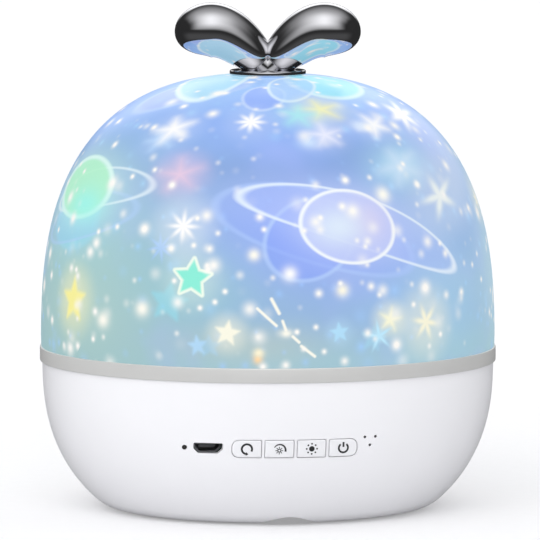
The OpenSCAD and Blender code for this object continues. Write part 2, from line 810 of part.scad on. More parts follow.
module motor_shaft() color("Silver") base_frame()
  translate([motor_at[0], motor_at[1], floor_low - gearbox_bore + shaft_gap])
    cylinder(r = shaft_r, h = pinion_top - floor_low + gearbox_bore - shaft_gap);

// ---------- motor ----------

module gear_motor() color("Silver") base_frame() translate([motor_at[0], motor_at[1], 0])
  difference() {
    union() {
      translate([-motor_w / 2, -motor_d / 2, floor_low - gearbox_l]) cube([motor_w, motor_d, gearbox_l]);
      intersection() {
        translate([0, 0, motor_low]) cylinder(r = motor_w / 2, h = motor_l - cut);
        translate([-motor_w / 2, -motor_d / 2, motor_low]) cube([motor_w, motor_d, motor_l - cut]);
      }
      translate([0, 0, motor_low - motor_cap_t]) cylinder(r = motor_cap_r, h = motor_cap_t + cut);
    }
    translate([0, 0, floor_low - gearbox_bore])
      cylinder(r = shaft_r + run_play, h = gearbox_bore + cut);
  }

module motor_clamp() color("LightGray") base_frame() translate([motor_at[0], motor_at[1], 0]) {
  inner = motor_d / 2 + run_play;
  outer = inner + clamp_t;
  ear_y = motor_d / 2 + clamp_t + clamp_ear;
  ear_z = floor_low - clamp_ear_t;
  bar_z = motor_low - clamp_t;
  difference() {
    translate([-clamp_w / 2, 0, 0]) rotate([90, 0, 90]) linear_extrude(clamp_w) polygon([
      [-outer, bar_z], [outer, bar_z], [outer, ear_z], [ear_y, ear_z], [ear_y, floor_low],
      [inner, floor_low], [inner, motor_low], [-inner, motor_low], [-inner, floor_low],
      [-ear_y, floor_low], [-ear_y, ear_z], [-outer, ear_z]
    ]);
    translate([0, 0, bar_z - cut]) cylinder(r = motor_cap_r + hole_play, h = clamp_t + 2 * cut);
    for (side = [-1, 1]) translate([0, side * clamp_screw_y, ear_z - cut])
      cylinder(r = small_screw_r + hole_play, h = clamp_ear_t + 2 * cut);
  }
}

module clamp_screws() color("Silver") base_frame()
  for (side = [-1, 1])
    translate([motor_at[0], motor_at[1] + side * clamp_screw_y, floor_low - clamp_ear_t - small_head_t])
      screw(small_screw_r, clamp_screw_l, small_head_r, small_head_t);

// ---------- battery and leads ----------

module battery() color("RoyalBlue") base_frame() translate([0, battery_y, battery_z])
  rotate([0, 90, 0]) {
    cylinder(r = battery_r, h = battery_l, center = true);
    cylinder(r = battery_cap_r, h = battery_l + 2 * battery_cap_t, center = true);
  }

module battery_lead() color("Firebrick") base_frame() lead(battery_route);
module motor_lead() color("Gray") base_frame() lead(motor_route);
module lamp_lead() color("DarkOrange") base_frame() lead(lamp_route);

// ---------- control board ----------

module control_board() color("SeaGreen") base_frame() towards_front(board_back, board_y)
  difference() {
    translate([-board_w / 2, board_z]) square([board_w, board_h]);
    for (side = [-1, 1]) translate([side * board_post_x, board_screw_z])
      circle(r = small_screw_r + hole_play);
  }

module board_screws() color("Silver") base_frame()
  for (side = [-1, 1])
    translate([side * board_post_x, -board_y - small_head_t, board_screw_z]) rotate([-90, 0, 0])
      screw(small_screw_r, board_screw_l - tip_gap, small_head_r, small_head_t);

module board_parts() color("Ivory") base_frame() {
  for (at = [battery_plug, motor_plug, lamp_plug])
    translate([at[0] - plug_size[0] / 2, -board_back, at[1] - plug_size[2] / 2]) cube(plug_size);
  translate([chip_at[0] - chip_size[0] / 2, -board_back, chip_at[1] - chip_size[2] / 2])
    cube(chip_size);
}

module tact_switches() color("DarkSlateGray") base_frame()
  for (x = key_xs) difference() {
    translate([x - switch_w / 2, -switch_front, key_z - switch_w / 2])
      cube([switch_w, switch_d, switch_w]);
    towards_front(switch_bore_y, switch_front + cut)
      translate([x, key_z]) circle(r = stem_r + run_play);
  }

module usb_socket() color("Silver") base_frame() {
  difference() {
    towards_front(board_y, usb_front) usb_outline(usb_play);
    towards_front(usb_front - usb_depth, usb_front + cut) usb_outline(usb_play + usb_shell_t);
  }
  translate([-usb_x - usb_tongue[0] / 2, -usb_front + usb_depth - usb_tongue[1], key_z])
    cube(usb_tongue + [0, usb_tongue_root, 0]);
}

module charge_light() color("MistyRose") base_frame() {
  towards_front(board_y, board_y + light_base_t)
    translate([-light_x, key_z]) square(light_base, center = true);
  towards_front(board_y, base_outer_front(light_x + light_r, key_z) - light_sunk)
    translate([-light_x, key_z]) circle(r = light_r - run_play);
}

module beeper() color("Black") base_frame() difference() {
  towards_front(board_y, board_y + beeper_d) translate(beeper_at) circle(r = beeper_r);
  towards_front(board_y + beeper_d - beeper_hole_d, board_y + beeper_d + cut)
    translate(beeper_at) circle(r = beeper_hole_r);
}

// ---------- keys ----------

module key(i) {
  half_flange = key_h / 2 + key_play + flange_lap;
  reach = abs(key_xs[i]) + key_w / 2;
  flange_front = base_inner_front(reach, key_z - half_flange) - flange_gap;
  flange_back = flange_front - key_flange_t;
  color("WhiteSmoke") base_frame() {
    intersection() {
      towards_front(flange_back, base_r + cut) key_outline(i);
      rotate_extrude() polygon(concat(
        [[0, base_top]],
        from_top(swell_arc(base_r + key_proud, base_depth + key_proud, base_power))
      ));
    }
    towards_front(flange_back, flange_front)
      translate([key_xs[i], key_z]) square([key_w, 2 * half_flange], center = true);
    towards_front(stem_front, flange_back + key_flange_t / 2)
      translate([key_xs[i], key_z]) circle(r = plunger_r);
  }
}

module stem(i) {
  color("Black") base_frame() towards_front(stem_back, stem_front)
    translate([key_xs[i], key_z]) circle(r = stem_r);
}

module key_rotation() key(0);
module key_mode() key(1);
module key_brightness() key(2);
module key_power() key(3);
module stem_rotation() stem(0);
module stem_mode() stem(1);
module stem_brightness() stem(2);
module stem_power() stem(3);

// ---------- shade and tail ----------

module shade() color("LightSteelBlue") difference() {
  translate([0, 0, shade_z]) dome_wall(shade_r, shade_h, shade_power, shade_wall);
  translate([0, 0, tail_z - plate_t]) cylinder(r = plate_r + hole_play, h = plate_t + cut);
  translate([0, 0, crown_in_z - cut]) cylinder(r = plate_spigot_r + hole_play, h = shade_wall + 2 * cut);
}

module tail_plate() color("Silver") difference() {
  union() {
    translate([0, 0, tail_z - plate_t]) cylinder(r = plate_r, h = plate_t);
    translate([0, 0, crown_in_z]) cylinder(r = plate_spigot_r, h = tail_z - crown_in_z - plate_t / 2);
  }
  translate([0, 0, crown_in_z - cut]) cylinder(r = screw_r + hole_play, h = tail_z - crown_in_z + 2 * cut);
}

// Middle line of a lobe, its direction and its half thickness, at the share s of its length
function lobe_at(s) =
  lobe_path[0] * pow(1 - s, 3) + lobe_path[1] * 3 * pow(1 - s, 2) * s
  + lobe_path[2] * 3 * (1 - s) * s * s + lobe_path[3] * pow(s, 3);
function lobe_way(s) = unit(
  (lobe_path[1] - lobe_path[0]) * pow(1 - s, 2) + (lobe_path[2] - lobe_path[1]) * 2 * (1 - s) * s
  + (lobe_path[3] - lobe_path[2]) * s * s
);
function lobe_half(s) = (lobe_root_t + lobe_swell * pow(s, 0.4)) * sqrt(1 - pow(s, lobe_blunt));

function lobe_ring(at, way, half) = [
  for (j = [0:lobe_sides - 1])
    let (a = 360 * j / lobe_sides, up = half * cos(a))
      [at[0] - way[1] * up, lobe_depth_share * half * sin(a), at[1] + way[0] * up]
];

module lobe() {
  steps = [for (i = [0:lobe_rings - 1]) (1 - cos(180 * i / lobe_rings)) / 2];
  root = lobe_at(0) - lobe_way(0) * lobe_back;
  end = lobe_at(1);
  rings = concat(
    [lobe_ring(root, lobe_way(0), lobe_root_t)],
    [for (s = steps) lobe_ring(lobe_at(s), lobe_way(s), lobe_half(s))]
  );
  last = len(rings) - 1;
  points = concat([for (r = rings) each r], [[root[0], 0, root[1]], [end[0], 0, end[1]]]);
  middle = len(points) - 2;
  faces = [
    for (j = [0:lobe_sides - 1])
      let (k = (j + 1) % lobe_sides)
        each concat(
          [[middle, j, k], [middle + 1, last * lobe_sides + k, last * lobe_sides + j]],
          [
            for (i = [0:last - 1])
              let (a = i * lobe_sides, b = a + lobe_sides)
                each [[a + j, b + j, b + k], [a + j, b + k, a + k]]
          ]
        )
  ];
  polyhedron(points, faces);
}

// The lobe's part on its own side of the middle and above the plate
module half_tail() {
  intersection() {
    lobe();
    translate([0, -lobe_reach, 0]) cube(2 * lobe_reach);
  }
}

module tail() color("Gainsboro") translate([0, 0, tail_z]) difference() {
  union() {
    half_tail();
    mirror([1, 0, 0]) half_tail();
  }
  translate([0, 0, -cut]) cylinder(r = screw_r + thread_play, h = tail_screw_grip + 0.2 + cut);
}

module tail_washer() color("Silver") translate([0, 0, tail_washer_z])
  ring_wall(tail_washer_r, screw_r + hole_play, tail_washer_t);

module tail_screw() color("Silver") translate([0, 0, tail_washer_z - screw_head_t])
  screw(screw_r, tail_z + tail_screw_grip - tail_washer_z, screw_head_r, screw_head_t);

// ---------- all ----------

base_shell();
bottom_cover();
rubber_feet();
cover_screws();
trim_ring();
deck();
lamp_post();
post_screws();
led_board();
led_board_screws();
led_chips();
thrust_washer();
idler_pin();
gear_motor();
motor_clamp();
clamp_screws();
battery();
battery_lead();
motor_lead();
lamp_lead();
control_board();
board_screws();
board_parts();
tact_switches();
usb_socket();
charge_light();
beeper();
turntable();
film_dome();
film_cover();
idler_gear();
motor_shaft();
drive_pinion();
shade();
tail();
tail_plate();
tail_screw();
tail_washer();
key_rotation();
key_mode();
key_brightness();
key_power();
stem_rotation();
stem_mode();
stem_brightness();
stem_power();
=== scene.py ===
"""Looks of a star night light: the moulded base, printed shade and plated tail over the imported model.

Sizes are in millimetres until a mesh is made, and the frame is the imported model's: +Z up, the panel
towards -Y and turned a little towards +X.
"""
import logging
import math
from dataclasses import dataclass, field
from enum import Enum
from typing import Any, Callable, Iterable, Optional, Sequence

import bmesh
import bpy
from mathutils import Matrix, Vector


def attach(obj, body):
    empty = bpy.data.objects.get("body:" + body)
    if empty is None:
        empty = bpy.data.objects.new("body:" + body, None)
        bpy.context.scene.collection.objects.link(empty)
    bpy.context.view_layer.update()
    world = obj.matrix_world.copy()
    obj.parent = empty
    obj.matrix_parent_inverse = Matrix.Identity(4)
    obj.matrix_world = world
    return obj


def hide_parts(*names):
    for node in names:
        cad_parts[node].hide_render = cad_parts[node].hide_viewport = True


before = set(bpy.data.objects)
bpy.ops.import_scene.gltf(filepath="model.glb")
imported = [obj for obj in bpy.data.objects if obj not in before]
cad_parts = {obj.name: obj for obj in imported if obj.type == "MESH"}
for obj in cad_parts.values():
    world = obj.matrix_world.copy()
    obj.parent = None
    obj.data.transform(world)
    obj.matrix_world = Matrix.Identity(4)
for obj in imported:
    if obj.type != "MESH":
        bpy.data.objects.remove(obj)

LOG = logging.getLogger("night_light")
MM = 0.001

Tree = bpy.types.NodeTree
Node = bpy.types.Node
Socket = bpy.types.NodeSocket
Mesh = bpy.types.Mesh
BMesh = bmesh.types.BMesh
Point2 = tuple[float, float]


# ---------- small helpers ----------


def linear(code: str) -> tuple[float, float, float, float]:
    """Turns an sRGB hex colour into linear light, by the standard curve.

    Args:
        code: Colour such as "#f4f5f8".

    Returns:
        Red, green, blue and full alpha.
    """
    parts = [int(code[i : i + 2], 16) / 255 for i in (1, 3, 5)]
    light = [c / 12.92 if c <= 0.04045 else ((c + 0.055) / 1.055) ** 2.4 for c in parts]
    return (light[0], light[1], light[2], 1.0)


def feed(tree: Tree, node: Node, values: dict) -> None:
    """Sets a node's inputs.

    Args:
        tree: The node's tree.
        node: Node whose inputs are set.
        values: Input name or number, and the value or the output socket that feeds it.
    """
    for key, value in values.items():
        if isinstance(value, Socket):
            tree.links.new(value, node.inputs[key])
        else:
            node.inputs[key].default_value = value


def add_node(tree: Tree, kind: str, values: Optional[dict] = None, **settings: Any) -> Node:
    """Adds a node to a tree.

    Args:
        tree: Tree that gets the node.
        kind: The node's type name.
        values: Input name or number, and the value or the output socket that feeds it.
        settings: Properties of the node.

    Returns:
        The new node.
    """
    node = tree.nodes.new(kind)
    for name, value in settings.items():
        setattr(node, name, value)
    feed(tree, node, values or {})
    return node


class Body(Enum):
    """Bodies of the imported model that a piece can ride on, apart from the keys' own."""

    BASE = "base"
    SHADE = "shade"


# ---------- finishes ----------


class Finish:
    """A surface finish. Each kind builds its material once and keeps it."""

    name: str
    made: dict[str, bpy.types.Material] = {}

    def material(self) -> bpy.types.Material:
        """Returns the finish's material, built on first use.

        Returns:
            The material.
        """
        if self.name not in Finish.made:
            material = bpy.data.materials.new(self.name)
            material.use_nodes = True
            tree = material.node_tree
            tree.nodes.clear()
            shader = add_node(tree, "ShaderNodeBsdfPrincipled")
            add_node(tree, "ShaderNodeOutputMaterial", {"Surface": shader.outputs[0]})
            self.dress(tree, shader)
            Finish.made[self.name] = material
        return Finish.made[self.name]

    def dress(self, tree: Tree, shader: Node) -> None:
        """Adds the finish's own nodes before the shader."""
        raise NotImplementedError


@dataclass(frozen=True)
class Moulded(Finish):
    """Injection-moulded plastic or rubber: one colour that drifts a little, over a fine mould skin."""

    name: str
    colour: str
    drift: str
    roughness: float = 0.35
    ior: float = 1.53
    coat: float = 0.0
    skin_mm: float = 0.5
    skin_depth: float = 0.015
    spread: float = 0.06
    drift_mm: float = 18.0
    skin_strength: float = 0.25
    coat_roughness: float = 0.08

    def dress(self, tree: Tree, shader: Node) -> None:
        """Adds colour and gloss that drift over centimetres, and a skin that varies over the mould's grain.

        Args:
            tree: The material's tree.
            shader: Its shader.
        """
        place = add_node(tree, "ShaderNodeTexCoord").outputs["Object"]
        slow = add_node(
            tree, "ShaderNodeTexNoise", {"Vector": place, "Scale": 1 / (self.drift_mm * MM), "Detail": 2.0}
        )
        colour = add_node(
            tree, "ShaderNodeMix", {0: slow.outputs[0], 6: linear(self.colour), 7: linear(self.drift)},
            data_type="RGBA",
        )
        fine = add_node(
            tree, "ShaderNodeTexNoise", {"Vector": place, "Scale": 1 / (self.skin_mm * MM), "Detail": 3.0}
        )
        gloss = add_node(
            tree, "ShaderNodeMapRange",
            {"Value": slow.outputs[0],
             "To Min": self.roughness - self.spread, "To Max": self.roughness + self.spread},
        )
        bump = add_node(
            tree, "ShaderNodeBump",
            {"Strength": self.skin_strength, "Distance": self.skin_depth * MM, "Height": fine.outputs[0]},
        )
        feed(tree, shader, {
            "Base Color": colour.outputs[2], "Roughness": gloss.outputs[0], "Normal": bump.outputs[0],
            "IOR": self.ior, "Coat Weight": self.coat, "Coat Roughness": self.coat_roughness,
        })


@dataclass(frozen=True)
class Metal(Finish):
    """Metal, or plastic with a metal skin: plated, painted, rolled or cut, with marks along one axis."""

    name: str
    colour: str
    drift: str
    roughness: float
    metallic: float = 1.0
    mark_mm: float = 0.3
    mark_depth: float = 0.004
    along: tuple[float, float, float] = (1.0, 1.0, 1.0)
    spread: float = 0.04
    drift_mm: float = 14.0
    mark_strength: float = 0.2
    mark_range: tuple[float, float] = (0.3, 0.7)
    least_roughness: float = 0.01

    def dress(self, tree: Tree, shader: Node) -> None:
        """Adds marks that are long where along is small, in gloss and in relief.

        Args:
            tree: The material's tree.
            shader: Its shader.
        """
        place = add_node(tree, "ShaderNodeTexCoord").outputs["Object"]
        stretched = add_node(tree, "ShaderNodeMapping", {"Vector": place, "Scale": self.along}).outputs[0]
        marks = add_node(
            tree, "ShaderNodeTexNoise", {"Vector": stretched, "Scale": 1 / (self.mark_mm * MM), "Detail": 3.0}
        )
        cloud = add_node(
            tree, "ShaderNodeTexNoise", {"Vector": place, "Scale": 1 / (self.drift_mm * MM), "Detail": 2.0}
        )
        colour = add_node(
            tree, "ShaderNodeMix", {0: cloud.outputs[0], 6: linear(self.colour), 7: linear(self.drift)},
            data_type="RGBA",
        )
        low, high = self.mark_range
        gloss = add_node(
            tree, "ShaderNodeMapRange",
            {"Value": marks.outputs[0], "From Min": low, "From Max": high,
             "To Min": max(self.least_roughness, self.roughness - self.spread),
             "To Max": self.roughness + self.spread},
        )
        bump = add_node(
            tree, "ShaderNodeBump",
            {"Strength": self.mark_strength, "Distance": self.mark_depth * MM, "Height": marks.outputs[0]},
        )
        feed(tree, shader, {
            "Base Color": colour.outputs[2], "Roughness": gloss.outputs[0], "Normal": bump.outputs[0],
            "Metallic": self.metallic,
        })


@dataclass(frozen=True)
class ClearPlastic(Finish):
    """Clear moulded polycarbonate: see-through, with a faint flow pattern in its gloss."""

    name: str
    colour: str
    roughness: float = 0.05
    spread: float = 0.06
    transmission: float = 1.0
    ior: float = 1.585
    flow_mm: float = 9.0
    swirl: float = 1.5

    def dress(self, tree: Tree, shader: Node) -> None:
        """Adds the flow pattern and lets light through.

        Args:
            tree: The material's tree.
            shader: Its shader.
        """
        place = add_node(tree, "ShaderNodeTexCoord").outputs["Object"]
        flow = add_node(
            tree, "ShaderNodeTexNoise",
            {"Vector": place, "Scale": 1 / (self.flow_mm * MM), "Distortion": self.swirl},
        )
        gloss = add_node(
            tree, "ShaderNodeMapRange",
            {"Value": flow.outputs[0], "To Min": self.roughness, "To Max": self.roughness + self.spread},
        )
        feed(tree, shader, {
            "Roughness": gloss.outputs[0], "Base Color": linear(self.colour), "IOR": self.ior,
            "Transmission Weight": self.transmission,
        })


@dataclass(frozen=True)
class CircuitBoard(Finish):
    """Glass-fibre board under green solder resist, with copper tracks that show through it.

    cell_mm is the size of the square fields that the tracks run round, fold the share of a field from
    one track to the next, and edge where in a fold a track's two edges lie.
    """

    name: str
    resist: str = "#14603a"
    track: str = "#2f8a55"
    cell_mm: float = 3.9
    scatter: float = 0.6
    fold: float = 0.11
    edge: tuple[float, float] = (0.05, 0.065)
    relief_mm: float = 0.03
    relief_strength: float = 0.4
    roughness: float = 0.3
    ior: float = 1.5

    def dress(self, tree: Tree, shader: Node) -> None:
        """Adds square tracks as the steps of a cell pattern, a little raised.

        Args:
            tree: The material's tree.
            shader: Its shader.
        """
        place = add_node(tree, "ShaderNodeTexCoord").outputs["Object"]
        cells = add_node(
            tree, "ShaderNodeTexVoronoi",
            {"Vector": place, "Scale": 1 / (self.cell_mm * MM), "Randomness": self.scatter},
            distance="CHEBYCHEV",
        )
        lines = add_node(
            tree, "ShaderNodeMath", {0: cells.outputs["Distance"], 1: self.fold}, operation="PINGPONG"
        )
        low, high = self.edge
        track = add_node(
            tree, "ShaderNodeMapRange", {"Value": lines.outputs[0], "From Min": low, "From Max": high}
        )
        colour = add_node(
            tree, "ShaderNodeMix", {0: track.outputs[0], 6: linear(self.resist), 7: linear(self.track)},
            data_type="RGBA",
        )
        bump = add_node(
            tree, "ShaderNodeBump",
            {"Strength": self.relief_strength, "Distance": self.relief_mm * MM, "Height": track.outputs[0]},
        )
        feed(tree, shader, {
            "Base Color": colour.outputs[2], "Normal": bump.outputs[0], "Roughness": self.roughness,
            "IOR": self.ior,
        })


# ---------- the pattern that the lamp throws on the shade ----------


class Shape(Enum):
    """Shapes in the star pattern."""

    STAR = "star"
    SPARKLE = "sparkle"
    PLANET = "planet"
    HOOP = "hoop"
    DOT = "dot"
    DASH = "dash"


@dataclass(frozen=True)
class Motif:
    """One shape of the pattern, placed as the lamp throws it.

    turn is in degrees from the front towards +X and rise in degrees above the lamp. wide and high are
    half sizes, as tangents of the angle that the lamp throws them over. fill, edge and halo are how
    strongly the inside, the outline and the haze round it shine, and soft is how blurred they are.
    """

    shape: Shape
    turn: float
    rise: float
    wide: float
    high: float
    spin: float = 0.0
    colour: str = "#ffffff"
    outline: str = "#f4fbff"
    fill: float = 1.0
    edge: float = 0.0
    halo: float = 0.0
    soft: float = 0.1
    points: int = 5

    def axes(self) -> tuple[Vector, Vector, Vector]:
        """Works out where the motif lies.

        Returns:
            The directions forward, right and up of it, the last two divided by its size.
        """
        turn, rise, spin = (math.radians(a) for a in (self.turn, self.rise, self.spin))
        ahead = Vector((math.sin(turn) * math.cos(rise), -math.cos(turn) * math.cos(rise), math.sin(rise)))
        right = Vector((math.cos(turn), math.sin(turn), 0))
        up = right.cross(ahead) * -1
        spun_right = right * math.cos(spin) + up * math.sin(spin)
        spun_up = up * math.cos(spin) - right * math.sin(spin)
        return ahead, spun_right / self.wide, spun_up / self.high


# Wide hazes, pale second images that the film's cover throws, and the shapes that stand out; two of the hazes
# are painted sheen
STAR, SPARKLE, PLANET, HOOP, DOT, DASH = Shape
MOTIFS = (
    Motif(DOT, 17, 19, 0.6, 0.3, spin=-14, colour="#98aefb", fill=0.75),
    Motif(DOT, -58, 25, 0.5, 0.4, colour="#b4e0dc", fill=0.55),
    Motif(DOT, -20, 5, 0.3, 0.2, colour="#a2d6d2", fill=0.4),
    Motif(DOT, -56, -3, 0.4, 0.2, colour="#bcd8cc", fill=0.4),
    Motif(DOT, -4, -8, 0.34, 0.09, colour="#c0ccc4", fill=0.5),
    Motif(DOT, 50, 0, 0.45, 0.3, colour="#b0daf0", fill=0.5),
    Motif(DOT, 44, 36, 0.2, 0.12, spin=14, colour="#b8e4f6", fill=0.8),
    # painted sheen: these two pale patches brighten the shade's right-hand edge, where its glossy rim catches
    # the side light
    Motif(DOT, 76, 36, 0.3, 0.26, colour="#cddcff", fill=0.75),
    Motif(DOT, 84, 6, 0.28, 0.4, colour="#c6e4ec", fill=0.7),
    Motif(PLANET, -64, 20, 0.2, 0.12, 0, "#98dcf0", "#a6e0f6", 0.7, 0.3, 0.2, 0.2),
    Motif(HOOP, 14, 21, 0.5, 0.16, -18, "#8fabfc", "#acc9fd", 0.35, 0.55, soft=0.08),
    Motif(PLANET, 11, 18, 0.21, 0.17, 30, "#86a3fc", "#b6d2fe", 0.55, 0.65, soft=0.08),
    Motif(HOOP, -60, 21.5, 0.37, 0.1, 14, "#9fc0f0", "#b4d4fa", 0.2, 0.5, soft=0.1),
    Motif(STAR, -25.5, 2, 0.1, 0.095, -8, "#98dcec", fill=0.65, soft=0.14),
    Motif(SPARKLE, -28.6, 15.5, 0.09, 0.085, 10, "#a6ccfc", fill=0.8, points=8),
    Motif(STAR, -14.5, -8.5, 0.055, 0.05, 4, "#a2d2f2", fill=0.5, soft=0.2),
    Motif(STAR, 27, -7, 0.06, 0.06, -10, "#a8dcf2", fill=0.5, soft=0.2),
    Motif(HOOP, 26, 22, 0.61, 0.11, -20, "#b4c6ff", "#e4f1ff", 0.4, 0.9, 0.1, 0.08),
    Motif(PLANET, 22, 21, 0.22, 0.16, -9, "#c4cffc", "#f6fbff", 0.88, 1.0, 0.15, 0.07),
    Motif(DOT, 27.5, 22, 0.1, 0.09, colour="#d8d2f4", fill=0.8),
    Motif(DOT, 19, 21, 0.13, 0.09, colour="#e2f0fd", fill=0.85),
    Motif(HOOP, -58, 29, 0.37, 0.09, 11, "#b0cdf0", "#e2f2fb", 0.15, 0.8, 0.0, 0.09),
    Motif(PLANET, -65, 29, 0.23, 0.14, 0, "#b8f6d0", "#e2fff8", 0.92, 0.85, 0.3, 0.14),
    Motif(DOT, -60, 24.5, 0.15, 0.08, colour="#a2f8ee", fill=0.85),
    Motif(HOOP, -50, 64, 0.26, 0.13, 42, "#b6c0fc", "#c6dcff", 0.45, 0.4, soft=0.16),
    Motif(PLANET, -55, 73, 0.15, 0.28, 40, "#b8e8fb", "#e4f8ff", 0.85, 0.85, 0.1, 0.14),
    Motif(HOOP, -2, 62, 0.12, 0.09, 80, "#93adfb", "#cfe2ff", 0.6, 0.6, soft=0.14),
    Motif(PLANET, 50, 71, 0.22, 0.17, 40, "#a4ecfc", "#dcf6ff", 0.9, 0.8, 0.15, 0.14),
    Motif(HOOP, 17, 69, 0.1, 0.18, -25, "#b0d4fd", "#dcf0ff", 0.7, 0.8, soft=0.12),
    Motif(STAR, -19.3, 8.2, 0.099, 0.096, -4, "#8ef4dc", "#f4fff0", 0.95, 1.0, 0.25, 0.09),
    Motif(STAR, -58, 0.5, 0.1, 0.11, 0, "#fbf49c", "#fdf8c0", 1.0, 0.3, 0.45, 0.16),
    Motif(STAR, -26.6, 34.2, 0.1, 0.08, 10, "#f6d2e6", "#dcc8ec", 0.85, 0.0, 0.45, 0.6),
    Motif(STAR, -10, -5.2, 0.062, 0.06, -8, "#fdfbe8", "#fffbe6", 1.0, 0.0, 0.4, 0.16),
    Motif(STAR, -17.6, -8.4, 0.045, 0.046, 8, "#b4dcfb", fill=0.9, soft=0.22),
    Motif(STAR, 23, 55.2, 0.1, 0.085, 8, "#fbf8b4", "#eef4dc", 0.95, 0.0, 0.45, 0.5),
    Motif(STAR, 12.4, 53, 0.08, 0.08, -10, "#aceef2", "#b8e8f8", 0.85, 0.0, 0.3, 0.5),
    Motif(STAR, 43.7, 35.8, 0.13, 0.085, 18, "#d2e6fb", fill=0.75, soft=0.5),
    Motif(STAR, 18, -5.2, 0.046, 0.046, 6, "#b4e2fd", "#c2e8ff", 0.95, 0.0, 0.25, 0.18),
    Motif(STAR, 32, -2.6, 0.062, 0.058, -12, "#fbfadc", "#f6f8e0", 1.0, 0.0, 0.5, 0.34),
    Motif(SPARKLE, -22.8, 21, 0.106, 0.1, 0, "#ffffff", halo=0.35, soft=0.16, points=8),
    Motif(SPARKLE, 28.7, -6.5, 0.095, 0.09, 10, "#c0ebff", points=5),
    Motif(SPARKLE, 43.3, -3.9, 0.11, 0.11, 20, "#fbf8de", "#fbf8de", halo=0.4, soft=0.2, points=6),
    Motif(SPARKLE, 56, 27, 0.2, 0.13, 18, "#f2f8f4", "#e6f2f6", fill=0.9, halo=0.3, soft=0.2),
    Motif(SPARKLE, 65, 51, 0.17, 0.12, 30, "#ffffff", "#e6f0ff", halo=0.15, soft=0.24, points=6),
    Motif(STAR, -38.4, 43.6, 0.085, 0.06, 20, "#b8d8fc", fill=0.9, soft=0.45),
    Motif(STAR, -35.7, 47.3, 0.1, 0.08, 20, "#ffffff", "#e2ecff", 1.0, 0.0, 0.18, 0.45),
    Motif(SPARKLE, -6.4, 50.6, 0.085, 0.085, 0, "#ffffff", "#e8f0ff", halo=0.15, soft=0.22, points=8),
    Motif(STAR, 42.5, 48.4, 0.095, 0.07, 20, "#ffffff", "#e2ecff", 1.0, 0.0, 0.18, 0.45),
    Motif(DOT, 36, 48.5, 0.05, 0.035, colour="#dcebff", fill=0.9),
    Motif(STAR, 20.2, 45.9, 0.085, 0.07, 6, "#eef0ff", "#d8e0ff", 0.95, 0.0, 0.2, 0.5),
    Motif(DOT, 13.8, 43.8, 0.04, 0.035, colour="#d2e6ff", fill=0.9),
    Motif(DOT, 34, 28.6, 0.035, 0.035, colour="#fffef4"),
    Motif(DASH, 1.9, 1.5, 0.035, 0.007, -62, "#fffdf0", points=5),
    Motif(DASH, 4.1, -3.3, 0.02, 0.006, -70, "#fffdf0", points=3),
    Motif(DASH, 7, -6.7, 0.018, 0.006, -42, "#fffdf0", points=3),
    Motif(DASH, 10, -9.6, 0.036, 0.006, -37, "#fffdf0", points=6),
    Motif(DASH, -0.2, -1.2, 0.055, 0.006, -42, "#fffdf0", points=9),
    Motif(DOT, 4.6, -5.2, 0.026, 0.018, colour="#fffdf0"),
    Motif(DOT, -2.4, -11.4, 0.02, 0.022, colour="#ffd9a4"),
    Motif(DOT, -2.2, -9.9, 0.024, 0.02, colour="#fff6d6"),
    Motif(DOT, -3.5, 14.2, 0.026, 0.026, colour="#fffcf0"),
    Motif(DOT, 5.6, 9.5, 0.032, 0.032, colour="#ffffff"),
    Motif(DOT, 19, 5.2, 0.03, 0.03, colour="#fffbe8"),
    Motif(DOT, -33, 0, 0.035, 0.035, colour="#fffdf2"),
    Motif(DOT, -45.6, -3.6, 0.036, 0.034, colour="#fffdf2"),
    # the side that the photograph hides carries more of the same
    Motif(DOT, 175, 14, 0.6, 0.35, colour="#98aefb", fill=0.7),
    Motif(DOT, 115, 34, 0.5, 0.35, colour="#b4e0dc", fill=0.5),
    Motif(HOOP, 173, 14, 0.55, 0.13, 14, "#b3c8fb", "#e6f3ff", 0.35, 0.9, 0.1, 0.07),
    Motif(PLANET, 171, 14, 0.2, 0.17, 0, "#dcdcfc", "#f2f6ff", 0.85, 1.0, 0.15, 0.06),
    Motif(PLANET, 118, 36, 0.17, 0.13, 0, "#a9eede", "#dcfff6", 0.9, 0.8, 0.2, 0.09),
    Motif(STAR, 100, 5, 0.09, 0.085, 9, "#f6d0ea", "#fff2fa", 0.9, 0.9, 0.3, 0.1),
    Motif(STAR, 132, -4, 0.07, 0.065, -14, "#fbf7bd", "#fbf7bd", 0.95, 0.0, 0.4, 0.16),
    Motif(STAR, 211, -5, 0.08, 0.078, 12, "#9ff0e0", "#ecfff6", 0.9, 0.9, 0.3, 0.1),
    Motif(STAR, 236, 22, 0.075, 0.07, -8, "#fbfbe6", "#fbfbe6", 0.95, 0.0, 0.4, 0.16),
    Motif(STAR, 262, -3, 0.06, 0.06, 5, "#bfe4fd", "#bfe4fd", 0.9, 0.0, 0.3, 0.18),
    Motif(SPARKLE, 148, 30, 0.1, 0.09, 0, "#ffffff", halo=0.3, points=8),
    Motif(SPARKLE, 196, 40, 0.09, 0.08, 12, "#ffffff", halo=0.2, points=6),
    Motif(SPARKLE, 84, 24, 0.09, 0.08, 20, "#fdfbe2", "#fdfbe2", halo=0.3, points=8),
    Motif(SPARKLE, 250, 42, 0.09, 0.08, 20, "#ffffff", halo=0.2, points=8),
)


